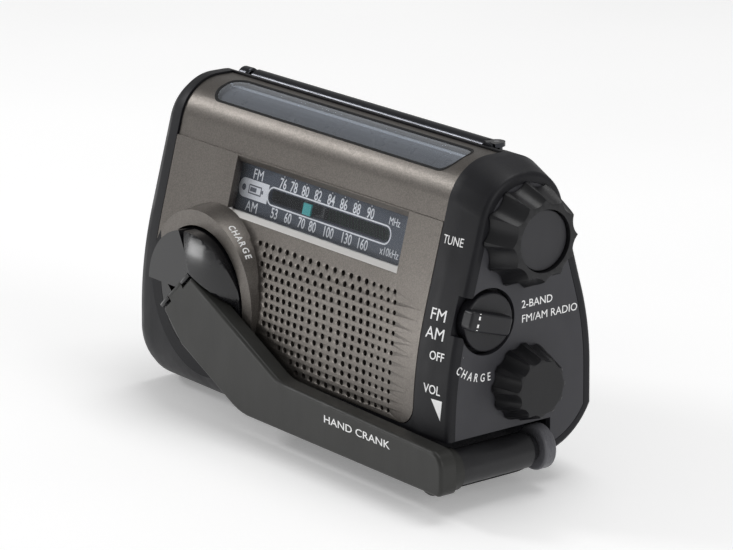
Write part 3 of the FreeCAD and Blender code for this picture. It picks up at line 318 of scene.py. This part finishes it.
def solar_film():
    """Amorphous solar strip: long cells and fine collector lines, with painted reflection: lighter towards
    the rear, and a white band near its rear edge.
    """
    s = Shader("solar_blue")
    depth = s.axis("Y")
    cells = grid_lines(s, s.axis("X"), CELL_PITCH, CELL_GAP)
    fingers = grid_lines(s, depth, FINGER_PITCH, FINGER_WIDTH)
    clouds = s.range(s.noise(9.0, 2.0), 0.0, 1.0)
    film = s.mix(clouds, srgb(34, 38, 50), srgb(42, 47, 60))
    # Painted reflection: the film grows lighter from front to rear.
    paler = s.mix(s.range(depth, 0.0, 1.0, STRIP_FRONT, STRIP_REAR), film, srgb(92, 98, 108))
    with_fingers = s.mix(s.math("MULTIPLY", fingers, 0.12), paler, srgb(120, 124, 132))
    with_cells = s.mix(s.math("MULTIPLY", cells, 0.5), with_fingers, srgb(24, 26, 36))
    # Painted reflection: a near white band across the rear of the strip.
    reflection_band_rise = s.range(depth, 0.0, 1.0, *REFLECTION_BAND_FRONT)
    reflection_band_fall = s.range(depth, 1.0, 0.0, *REFLECTION_BAND_REAR)
    with_reflection_band = s.mix(s.math("MULTIPLY", reflection_band_rise, reflection_band_fall), with_cells, srgb(240, 242, 245))
    s.principled(with_reflection_band, s.range(clouds, 0.26, 0.34, 0.0, 1.0), s.bump(cells, 0.01))
    return s.material


def pointer_paint():
    """Teal flag behind the slot, with painted shade: black wherever it lies deeper than the flag, on its
    sides and on the carriage that holds it.
    """
    s = Shader("pointer_teal")
    # Painted shade: black on everything deeper than the flag behind the front face.
    behind = s.math("GREATER_THAN", depth_behind_face(s), FLAG_DEPTH)
    grain = s.noise(0.3, 3.0)
    teal = s.mix(grain, srgb(26, 150, 150), srgb(44, 176, 172))
    tone = s.mix(behind, teal, srgb(14, 14, 15))
    s.principled(tone, s.range(grain, 0.3, 0.4), s.bump(grain, 0.006))
    return s.material


def woven(name, colour, thread_mm=0.35):
    """Speaker cloth: an over-and-under weave of fine threads."""
    s = Shader(name)
    waves = []
    for axis in ("X", "Z"):
        angle = s.math("MULTIPLY", s.axis(axis), math.pi / (thread_mm * MM))
        waves.append(s.math("ABSOLUTE", s.math("SINE", angle)))
    weave = s.math("MAXIMUM", *waves)
    fuzz = s.noise(0.2, 2.0)
    light = tuple(min(1.0, c * 2.2) for c in colour[:3]) + (1.0,)
    tone = s.mix(s.math("MULTIPLY", weave, fuzz), colour, light)
    s.principled(tone, s.range(fuzz, 0.75, 0.95), s.bump(weave, 0.06), Sheen_Weight=0.3)
    return s.material


def board_green():
    """Circuit board: solder mask over copper traces, with pads."""
    s = Shader("board_green")
    traces = s.add("ShaderNodeTexBrick")
    traces.inputs["Scale"].default_value = 1.0 / (2.4 * MM)
    traces.inputs["Color1"].default_value = srgb(20, 84, 44)
    traces.inputs["Color2"].default_value = srgb(26, 98, 52)
    traces.inputs["Mortar"].default_value = srgb(54, 132, 70)
    s.link(s.coords, traces.inputs["Vector"])
    gloss = s.range(s.noise(1.0), 0.3, 0.42)
    s.principled(traces.outputs["Color"], gloss, s.bump(traces.outputs["Fac"], 0.03))
    return s.material


BAND_START = 8.0 * MM


def wrapped(name, colour, band):
    """Shrink-wrapped cell: glossy sleeve with a coloured band along its length."""
    s = Shader(name)
    stripe = s.math("GREATER_THAN", s.axis("X"), BAND_START)
    creases = s.noise(2.2, 4.0, 0.6, s.stretched(0.4, 1.0, 1.0))
    tone = s.mix(stripe, colour, band)
    s.principled(tone, s.range(creases, 0.24, 0.36), s.bump(creases, 0.05, 0.5), Coat_Weight=0.3)
    return s.material


WIRE_WIDTH = 0.4


def wound_copper():
    """Enamelled wire wound round the ferrite rod."""
    s = Shader("copper")
    angle = s.math("MULTIPLY", s.axis("X"), math.pi / (WIRE_WIDTH * MM))
    turns = s.math("ABSOLUTE", s.math("SINE", angle))
    tone = s.mix(turns, srgb(96, 40, 20), srgb(206, 112, 66))
    s.principled(tone, s.range(s.noise(0.6), 0.28, 0.4), s.bump(turns, 0.15), 0.9)
    return s.material


MATERIALS = {
    "black_case": moulded("black_case", srgb(22, 22, 26), 0.46, 0.36, 0.018, Specular_IOR_Level=0.25),
    "control_plate": moulded("control_plate", srgb(57, 57, 61), 0.44, 0.3, 0.014, 0.16),
    "panel_metal": panel_paint(),
    "ring_metal": ring_paint(),
    "solar_cover": clear_plastic("solar_cover", srgb(240, 243, 247), 0.18, 0.12),
    "solar_blue": solar_film(),
    "dial_clear": clear_plastic("dial_clear", srgb(248, 249, 251), 0.01, 0.2, 0.02),
    "dial_print": moulded("dial_print", srgb(60, 67, 78), 0.5, 0.5, 0.004, 0.12),
    "pointer_teal": pointer_paint(),
    "cloth": woven("cloth", srgb(20, 19, 19)),
    "steel": metal("steel", srgb(176, 176, 178), 0.28, 0.2, 0.004, 1.0, (0.1, 1.0, 1.0)),
    "speaker_paper": moulded("speaker_paper", srgb(38, 36, 34), 0.85, 0.5, 0.06),
    "ferrite_grey": moulded("ferrite_grey", srgb(62, 62, 66), 0.6, 0.4, 0.03),
    "gloss_black": moulded("gloss_black", srgb(15, 15, 18), 0.24, 0.6, 0.002, 0.2, Coat_Weight=0.4,
                           Coat_Roughness=0.12),
    "crank_black": moulded("crank_black", srgb(42, 42, 40), 0.42, 0.3, 0.014, 0.14),
    "grip_black": moulded("grip_black", srgb(36, 36, 38), 0.34, 0.4, 0.008, 0.2),
    "gear_white": moulded("gear_white", srgb(226, 222, 210), 0.42, 0.5, 0.01, 0.06),
    "brass": metal("brass", srgb(196, 160, 92), 0.26, 0.2, 0.004),
    "gear_plate": moulded("gear_plate", srgb(58, 58, 62), 0.55, 0.4, 0.02),
    "knob_black": moulded("knob_black", srgb(24, 24, 26), 0.36, 0.34, 0.012, 0.2),
    "knob_cap": moulded("knob_cap", srgb(48, 48, 51), 0.42, 0.3, 0.01, 0.14),
    "selector_black": moulded("selector_black", srgb(32, 32, 35), 0.36, 0.34, 0.01, 0.2),
    "part_clear": clear_plastic("part_clear", srgb(216, 220, 226), 0.05),
    "part_black": moulded("part_black", srgb(26, 26, 28), 0.5, 0.4, 0.02),
    "board_green": board_green(),
    "copper": wound_copper(),
    "pack_wrap": wrapped("pack_wrap", srgb(60, 96, 150), srgb(40, 66, 112)),
    "cell_wrap": wrapped("cell_wrap", srgb(34, 34, 38), srgb(176, 120, 60)),
    "contact_metal": metal("contact_metal", srgb(200, 198, 190), 0.22, 0.2, 0.004, 1.0, (1.0, 1.0, 0.1)),
    "lamp_clear": clear_plastic("lamp_clear", srgb(240, 242, 246), 0.04),
    "chrome": metal("chrome", srgb(222, 224, 228), 0.08, 0.5, 0.001),
    "rubber": moulded("rubber", srgb(28, 28, 29), 0.78, 0.5, 0.04),
    "antenna_chrome": metal("antenna_chrome", srgb(62, 63, 67), 0.2, 0.3, 0.002, 1.0, (0.05, 1.0, 1.0)),
}

print_white = moulded("print_white", srgb(248, 248, 248), 0.5, 0.5, 0.004, 0.02)
print_grey = moulded("print_grey", srgb(150, 150, 152), 0.5, 0.5, 0.004, 0.05)
dial_ink = moulded("dial_ink", srgb(90, 94, 102), 0.5, 0.5, 0.004, 0.05)

for part in frame["record"]["subparts"]:
    node = frame["nodes"][part["node"]]
    node.data.materials.clear()
    node.data.materials.append(MATERIALS[part["material_slot"]])
# The disc on the end of the grip is paler than the gloss black of the dome, which shares its slot.
frame["nodes"]["grip_cap"].data.materials[0] = moulded("grip_disc", srgb(92, 92, 96), 0.3, 0.3, 0.008, 0.1)

# ---------------------------------------------------------------- soft edges on the CAD nodes
def soften(name, width_mm, segments=2, angle=34.0):
    """Rounds the hard edges of a CAD node so that they catch the light."""
    node = frame["nodes"][name]
    weld = node.modifiers.new("weld", "WELD")
    weld.merge_threshold = 0.002 * MM
    bevel = node.modifiers.new("bevel", "BEVEL")
    bevel.width = width_mm * MM
    bevel.segments = segments
    bevel.limit_method = "ANGLE"
    bevel.angle_limit = math.radians(angle)
    bevel.use_clamp_overlap = True
    normals = node.modifiers.new("normals", "WEIGHTED_NORMAL")
    normals.weight = 80
    normals.keep_sharp = False


EDGE_WIDTHS_MM = {
    "front_panel": 0.12,
    "crank_ring": 0.35,
    "front_base": 0.15,
    "rear_housing": 0.15,
    "left_cap": 0.15,
    "right_cap": 0.15,
    "control_panel": 0.1,
    "crank_arm": 0.12,
    "crank_rotor": 0.15,
    "tuning_knob": 0.12,
    "volume_knob": 0.12,
    "band_selector": 0.1,
    "battery_door": 0.2,
    "solar_window": 0.12,
    "grip_sleeve": 0.25,
}
for node_name, edge_width in EDGE_WIDTHS_MM.items():
    soften(node_name, edge_width)


# ---------------------------------------------------------------- printed marks
def surface_tree(*names):
    """One ray-casting tree over the rest shape of the named CAD nodes."""
    points, faces = [], []
    for name in names:
        node = frame["nodes"][name]
        offset = len(points)
        points.extend(node.matrix_world @ vertex.co for vertex in node.data.vertices)
        faces.extend([offset + i for i in face.vertices] for face in node.data.polygons)
    return BVHTree.FromPolygons(points, faces)


def cast_lay(tree, start, direction):
    """Lays (u, v) in millimetres on a surface: start(u, v) is a point off it, direction the way in."""
    way = Vector(direction)

    def lay(u, v):
        place, normal, _, _ = tree.ray_cast(start(u, v), way)
        if place is None:
            raise ValueError(f"a printed mark misses its surface at {u}, {v}")
        if normal.dot(way) > 0:
            normal.negate()
        return place, normal

    return lay


def flat_lay(lay, left, right, low, high):
    """The same surface taken as one plane through three spots, so that marks may run past its holes."""
    corner, normal = lay(left, low)
    along = (lay(right, low)[0] - corner) / (right - left)
    up = (lay(left, high)[0] - corner) / (high - low)
    return lambda u, v: (corner + along * (u - left) + up * (v - low), normal)


def text_shape(text, height, at=(0.0, 0.0), narrow=1.0, weight=0.0, turn=0.0):
    """Filled letters as (points, faces) in millimetres, centred on a point."""
    curve = bpy.data.curves.new("letters", "FONT")
    curve.body = text
    curve.size = 1.0
    curve.offset = weight
    curve.resolution_u = 3
    curve.fill_mode = "FRONT"
    carrier = bpy.data.objects.new("letters", curve)
    flat = bmesh.new()
    flat.from_mesh(carrier.to_mesh())
    carrier.to_mesh_clear()
    bpy.data.objects.remove(carrier)
    bpy.data.curves.remove(curve)
    bmesh.ops.remove_doubles(flat, verts=flat.verts, dist=0.0001)
    flat.verts.index_update()
    lows = [min(v.co[i] for v in flat.verts) for i in (0, 1)]
    highs = [max(v.co[i] for v in flat.verts) for i in (0, 1)]
    scale = height / (highs[1] - lows[1])
    middle = [(low + high) / 2 for low, high in zip(lows, highs)]
    cosine, sine = math.cos(math.radians(turn)), math.sin(math.radians(turn))
    points = []
    for vertex in flat.verts:
        x = (vertex.co.x - middle[0]) * scale * narrow
        y = (vertex.co.y - middle[1]) * scale
        points.append((at[0] + x * cosine - y * sine, at[1] + x * sine + y * cosine))
    faces = []
    for face in flat.faces:
        loop = [v.index for v in face.verts]
        faces.append(loop if face.normal.z > 0 else loop[::-1])
    flat.free()
    return points, faces


def polygon_shape(points):
    """One flat face inside an outline."""
    return list(points), [list(range(len(points)))]


def band_shape(outer, inner):
    """Band between two outlines of equal length."""
    count = len(outer)
    faces = [[i, (i + 1) % count, count + (i + 1) % count, count + i] for i in range(count)]
    return list(outer) + list(inner), faces


def pill_points(left, right, low, high, steps=10):
    """Outline of a slot with round ends, anticlockwise."""
    radius = (high - low) / 2
    middle = (high + low) / 2
    points = []
    for centre, first in ((right - radius, -90.0), (left + radius, 90.0)):
        for i in range(steps + 1):
            angle = math.radians(first + 180.0 * i / steps)
            points.append((centre + radius * math.cos(angle), middle + radius * math.sin(angle)))
    return points


def circle_points(centre, radius, steps=24):
    """Outline of a round spot, anticlockwise."""
    angles = [2 * math.pi * i / steps for i in range(steps)]
    return [(centre[0] + radius * math.cos(a), centre[1] + radius * math.sin(a)) for a in angles]


def fine(points, longest):
    """The same outline with no step longer than a limit."""
    result = []
    for (x0, y0), (x1, y1) in zip(points, points[1:] + points[:1]):
        pieces = max(1, math.ceil(math.hypot(x1 - x0, y1 - y0) / longest))
        result.extend((x0 + (x1 - x0) * i / pieces, y0 + (y1 - y0) * i / pieces) for i in range(pieces))
    return result


def stroke_shape(points, width):
    """Line of constant width through points."""
    left, right = [], []
    for i, (x, y) in enumerate(points):
        x0, y0 = points[max(0, i - 1)]
        x1, y1 = points[min(len(points) - 1, i + 1)]
        length = math.hypot(x1 - x0, y1 - y0)
        side = (-(y1 - y0) / length * width / 2, (x1 - x0) / length * width / 2)
        left.append((x + side[0], y + side[1]))
        right.append((x - side[0], y - side[1]))
    count = len(points)
    faces = [[count + i, count + i + 1, i + 1, i] for i in range(count - 1)]
    return left + right, faces


def printed(name, body, material, shapes, lay, proud_mm=0.04, sunk_mm=0.03):
    """Thin closed pads in the shape of the marks, laid on a surface."""
    mesh = bmesh.new()
    for points, faces in shapes:
        laid = [lay(u, v) for u, v in points]
        top = [mesh.verts.new(place + normal * proud_mm * MM) for place, normal in laid]
        under = [mesh.verts.new(place - normal * sunk_mm * MM) for place, normal in laid]
        directed = {(a, b) for face in faces for a, b in zip(face, face[1:] + face[:1])}
        for face in faces:
            mesh.faces.new([top[i] for i in face])
            mesh.faces.new([under[i] for i in reversed(face)])
        for a, b in sorted(directed):
            if (b, a) not in directed:
                mesh.faces.new([under[a], under[b], top[b], top[a]])
    bmesh.ops.recalc_face_normals(mesh, faces=mesh.faces)
    data = bpy.data.meshes.new(name)
    mesh.to_mesh(data)
    mesh.free()
    piece = bpy.data.objects.new(name, data)
    bpy.context.scene.collection.objects.link(piece)
    data.materials.append(material)
    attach(piece, body)


# Each of these starts its rays well outside the radio, on one side of it.
OUTSIDE_Y, OUTSIDE_X, OUTSIDE_Z = 60.0 * MM, 90.0 * MM, 120.0 * MM


def front_rays(tree):
    """Lays X to the right and Z up on what faces the front."""
    return cast_lay(tree, lambda u, v: Vector((u * MM, -OUTSIDE_Y, v * MM)), (0, 1, 0))


def rear_rays(tree):
    """Lays marks on what faces the back, u to the right as seen from behind."""
    return cast_lay(tree, lambda u, v: Vector((-u * MM, OUTSIDE_Y, v * MM)), (0, -1, 0))


def right_rays(tree):
    """Lays Y to the right and Z up on what faces the right end."""
    return cast_lay(tree, lambda u, v: Vector((OUTSIDE_X, u * MM, v * MM)), (-1, 0, 0))


def left_rays(tree):
    """Lays marks on what faces the left end, u to the right as seen from the left."""
    return cast_lay(tree, lambda u, v: Vector((-OUTSIDE_X, -u * MM, v * MM)), (1, 0, 0))


def top_rays(tree):
    """Lays X and Y on what faces up."""
    return cast_lay(tree, lambda u, v: Vector((u * MM, v * MM, OUTSIDE_Z)), (0, 0, -1))


# Dial: two number rows, band names, the slot's outline and a pale plate at its left end.
dial_lay = flat_lay(front_rays(surface_tree("dial_scale")), -24.0, 33.0, 50.8, 59.0)
FM_ROW_Z, AM_ROW_Z = 58.75, 51.55
TICK_LOW, TICK_HIGH, TICK_WIDTH = 60.2, 60.5, 0.2
NUMBER_HEIGHT, NUMBER_NARROW, NUMBER_WEIGHT = 2.5, 0.8, 0.012
FM_MARKS = (("76", -14.0), ("78", -9.8), ("80", -5.3), ("82", -0.4),
            ("84", 4.6), ("86", 9.4), ("88", 14.3), ("90", 19.4))
AM_MARKS = (("53", -15.2), ("60", -9.8), ("70", -4.5), ("80", -0.3),
            ("100", 6.0), ("130", 12.9), ("160", 18.9))
dial_text = [text_shape("FM", 2.4, (-23.9, 58.9), 0.95), text_shape("AM", 2.4, (-24.3, 51.3), 0.95)]
for marks, row_z in ((FM_MARKS, FM_ROW_Z), (AM_MARKS, AM_ROW_Z)):
    for mark, x in marks:
        dial_text.append(text_shape(mark, NUMBER_HEIGHT, (x, row_z), NUMBER_NARROW, NUMBER_WEIGHT))
dial_text += [text_shape("MHz", 1.7, (28.4, 58.6), 0.85), text_shape("x10kHz", 1.8, (28.6, 51.7), 0.85)]
for _, x in FM_MARKS:
    dial_text.append(stroke_shape([(x, TICK_LOW), (x, TICK_HIGH)], TICK_WIDTH))
printed("dial_numbers", "casing", print_white, dial_text, dial_lay)

# The outline of the slot, and the plate that carries the battery symbol, share their heights.
LINE_LEFT, LINE_RIGHT, LINE_LOW, LINE_HIGH, LINE_WIDTH = -19.2, 28.1, 52.95, 57.45, 0.35
PLATE_LEFT, PLATE_RIGHT = -30.6, -18.95
HALF_ROUND_POINTS = 11
slot_line = band_shape(pill_points(LINE_LEFT, LINE_RIGHT, LINE_LOW, LINE_HIGH),
                       pill_points(LINE_LEFT + LINE_WIDTH, LINE_RIGHT - LINE_WIDTH,
                                   LINE_LOW + LINE_WIDTH, LINE_HIGH - LINE_WIDTH))
plate_left_end = pill_points(PLATE_LEFT, PLATE_RIGHT, LINE_LOW, LINE_HIGH)[HALF_ROUND_POINTS:]
plate = polygon_shape([(PLATE_RIGHT, LINE_LOW), (PLATE_RIGHT, LINE_HIGH)] + plate_left_end)
printed("dial_slot_outline", "casing", print_white, [slot_line, plate], dial_lay, 0.03)
battery_icon = [
    band_shape([(-26.6, 54.1), (-21.6, 54.1), (-21.6, 56.3), (-26.6, 56.3)],
               [(-26.3, 54.4), (-21.9, 54.4), (-21.9, 56.0), (-26.3, 56.0)]),
    polygon_shape([(-21.5, 54.8), (-20.9, 54.8), (-20.9, 55.6), (-21.5, 55.6)]),
    polygon_shape([(-26.0, 54.7), (-23.6, 54.7), (-23.6, 55.7), (-26.0, 55.7)]),
    polygon_shape(circle_points((-28.5, 55.2), 0.75)),
]
printed("dial_battery_icon", "casing", dial_ink, battery_icon, dial_lay, 0.07)


# Lettering on the skirt of the crank ring, read clockwise, tops towards the panel.
SKIRT_START = math.radians(64.0)
SKIRT_FIRST, SKIRT_PITCH, SKIRT_MIDDLE = 1.0, 1.72, 2.2


def skirt_lay(u, v):
    """Lays u millimetres round the ring from the start angle, and v back from its front edge."""
    angle = SKIRT_START - u * MM / RING_RADIUS
    y = RING_FACE_Y + v * MM
    radius = RING_RADIUS + RING_FLARE * (y - RING_FACE_Y)
    out = Vector((math.cos(angle), 0.0, math.sin(angle)))
    place = Vector((HUB_X, y, HUB_Z)) + out * radius
    return place, (out + Vector((0, -RING_FLARE, 0))).normalized()


skirt_text = [text_shape(letter, 1.7, (SKIRT_FIRST + SKIRT_PITCH * i, SKIRT_MIDDLE), 0.9, 0.02)
              for i, letter in enumerate("CHARGE")]
printed("ring_lettering", "casing", print_white, skirt_text, skirt_lay, 0.05, 0.05)

# Right-hand strip of the front: tuning, bands, off and volume.
strip_lay = front_rays(surface_tree("right_cap"))
strip_marks = [
    text_shape("TUNE", 1.9, (53.1, 60.2), 0.85),
    text_shape("FM", 2.6, (53.4, 44.0), 1.05),
    text_shape("AM", 2.6, (53.3, 39.9), 1.05),
    text_shape("OFF", 2.0, (55.0, 35.1), 0.9, 0.008),
    text_shape("VOL", 2.1, (54.6, 27.5), 0.9, 0.008),
    polygon_shape([(57.6, 20.9), (57.9, 25.4), (54.6, 25.4)]),
]
printed("front_strip_marks", "casing", print_white, strip_marks, strip_lay)

# Right end: plain description, leader line and arc lettering for the charging position.
side_lay = right_rays(surface_tree("control_panel", "right_cap"))
side_marks = [
    text_shape("2-BAND", 1.8, (3.6, 44.5), 1.0, 0.004),
    text_shape("FM/AM RADIO", 1.8, (7.4, 41.1), 1.02),
    stroke_shape([(-15.3, 36.8), (-17.7, 35.3)], 0.22),
]
ARC_RADIUS, ARC_START, ARC_STEP = 12.8, 230.0, 8.4
for i, letter in enumerate("CHARGE"):
    degrees_round = ARC_START + ARC_STEP * i
    angle = math.radians(degrees_round)
    spot = (SELECTOR_CENTRE[0] + ARC_RADIUS * math.cos(angle),
            SELECTOR_CENTRE[1] + ARC_RADIUS * math.sin(angle))
    side_marks.append(text_shape(letter, 1.9, spot, 0.72, 0.008, degrees_round + 90.0))
printed("side_marks", "casing", print_white, side_marks, side_lay)

# White pointer marks on the selector's bar.
selector_lay = right_rays(surface_tree("band_selector"))


def on_selector(along, across):
    """Spot on the selector, measured along its bar and across it."""
    cosine, sine = math.cos(SELECTOR_ANGLE), math.sin(SELECTOR_ANGLE)
    return (SELECTOR_CENTRE[0] + along * cosine - across * sine,
            SELECTOR_CENTRE[1] + along * sine + across * cosine)


selector_marks = [
    stroke_shape([on_selector(-5.4, 0.5), on_selector(-5.4, 1.9)], 0.5),
    stroke_shape([on_selector(-5.4, -0.5), on_selector(-5.4, -1.9)], 0.5),
]
printed("selector_marks", "band_selector", print_white, selector_marks, selector_lay)

# Rear: how the battery door opens and what it holds.
door_arrow = [
    stroke_shape([(0.0, 41.0), (0.0, 37.6)], 0.5),
    polygon_shape([(-1.3, 37.8), (0.0, 35.9), (1.3, 37.8)]),
    text_shape("OPEN", 2.0, (0.0, 33.6), 0.95, 0.006),
    text_shape("AA x 2", 2.4, (0.0, 24.0), 1.0),
]
door_lay = rear_rays(surface_tree("battery_door"))
printed("door_marks", "battery_door", print_grey, door_arrow, door_lay)

# Left end: labels by the lamp switch and the jacks.
left_lay = left_rays(surface_tree("left_cap"))
left_marks = [
    text_shape("LIGHT", 1.7, (7.2, 36.0), 0.95),
    text_shape("PHONES", 1.7, (9.0, 19.2), 0.85),
    text_shape("DC", 1.7, (-6.0, 27.0), 1.0),
]
printed("left_marks", "casing", print_grey, left_marks, left_lay)


def rounded_box_points(left, right, low, high, radius, steps=6):
    """Outline of a rectangle with rounded corners, anticlockwise."""
    points = []
    corners = ((right - radius, low + radius, -90.0), (right - radius, high - radius, 0.0),
               (left + radius, high - radius, 90.0), (left + radius, low + radius, 180.0))
    for x, y, first in corners:
        for i in range(steps + 1):
            angle = math.radians(first + 90.0 * i / steps)
            points.append((x + radius * math.cos(angle), y + radius * math.sin(angle)))
    return points


# Black gasket line round the solar window.
WINDOW_MIDDLE = (-1.1, -5.2)
WINDOW_HALF = (45.4, 4.6)
WINDOW_CORNER = 3.6
GASKET_OUT, GASKET_IN = 0.25, -0.3
LONGEST_STEP = 3.0


def moved_outward(points, margin):
    """The window's outline made larger by a margin, measured at its straight sides."""
    scales = [(half + margin) / half for half in WINDOW_HALF]
    return [tuple(middle + (value - middle) * scale
                  for value, middle, scale in zip(point, WINDOW_MIDDLE, scales)) for point in points]


window_left, window_front = (middle - half for middle, half in zip(WINDOW_MIDDLE, WINDOW_HALF))
window_right, window_rear = (middle + half for middle, half in zip(WINDOW_MIDDLE, WINDOW_HALF))
window_outline = fine(rounded_box_points(window_left, window_right, window_front, window_rear,
                                         WINDOW_CORNER), LONGEST_STEP)
gasket = band_shape(moved_outward(window_outline, GASKET_OUT), moved_outward(window_outline, GASKET_IN))
top_lay = top_rays(surface_tree("front_panel", "solar_window"))
printed("solar_gasket", "casing", MATERIALS["rubber"], [gasket], top_lay, 0.12, 0.15)

# Lettering along the crank arm.
arm_lay = front_rays(surface_tree("crank_arm"))
printed("arm_lettering", "crank_arm", print_white,
        [text_shape("HAND CRANK", 1.8, (36.2, 14.0), 1.45, 0.004)], arm_lay)


# ---------------------------------------------------------------- floor, lights, world
def area_light(name, place, aim, width, height, power):
    """White softbox at a place, turned towards a point."""
    data = bpy.data.lights.new(name, "AREA")
    data.shape = "RECTANGLE"
    data.size, data.size_y = width, height
    data.energy = power
    light = bpy.data.objects.new(name, data)
    light.location = place
    light.rotation_euler = (Vector(aim) - Vector(place)).to_track_quat("-Z", "Y").to_euler()
    bpy.context.scene.collection.objects.link(light)


FLOOR_HALF = 6.0


def studio_floor():
    """Plain pale paper under the radio, a little lit from within so that it stays near white."""
    mesh = bpy.data.meshes.new("floor")
    corners = [(x * FLOOR_HALF, y * FLOOR_HALF, 0.0) for x, y in ((-1, -1), (1, -1), (1, 1), (-1, 1))]
    mesh.from_pydata(corners, [], [(0, 1, 2, 3)])
    floor = bpy.data.objects.new("floor", mesh)
    bpy.context.scene.collection.objects.link(floor)
    s = Shader("floor_paper")
    tone = s.mix(s.range(s.noise(180.0, 2.0), 0.0, 1.0), srgb(246, 246, 246), srgb(250, 250, 250))
    s.principled(tone, 0.7, Specular_IOR_Level=0.2,
                 Emission_Color=srgb(255, 255, 255), Emission_Strength=0.22)
    floor.data.materials.append(s.material)


studio_floor()
area_light("upper_left", (-0.79, -0.46, 0.56), (0.0, 0.0, 0.04), 0.24, 0.14, 2.2)
area_light("top", (0.05, 0.25, 1.15), (0.0, 0.0, 0.03), 0.9, 0.6, 5.0)
area_light("side", (1.0, 0.1, 0.45), (0.0, 0.0, 0.04), 0.5, 0.5, 2.3)
area_light("low_card", (-0.28, -0.42, 0.02), (0.05, -0.02, 0.02), 0.16, 0.12, 0.5)

world = bpy.data.worlds.new("studio")
world.use_nodes = True
world.node_tree.nodes["Background"].inputs["Color"].default_value = (1.0, 1.0, 1.0, 1.0)
world.node_tree.nodes["Background"].inputs["Strength"].default_value = 0.36
bpy.context.scene.world = world
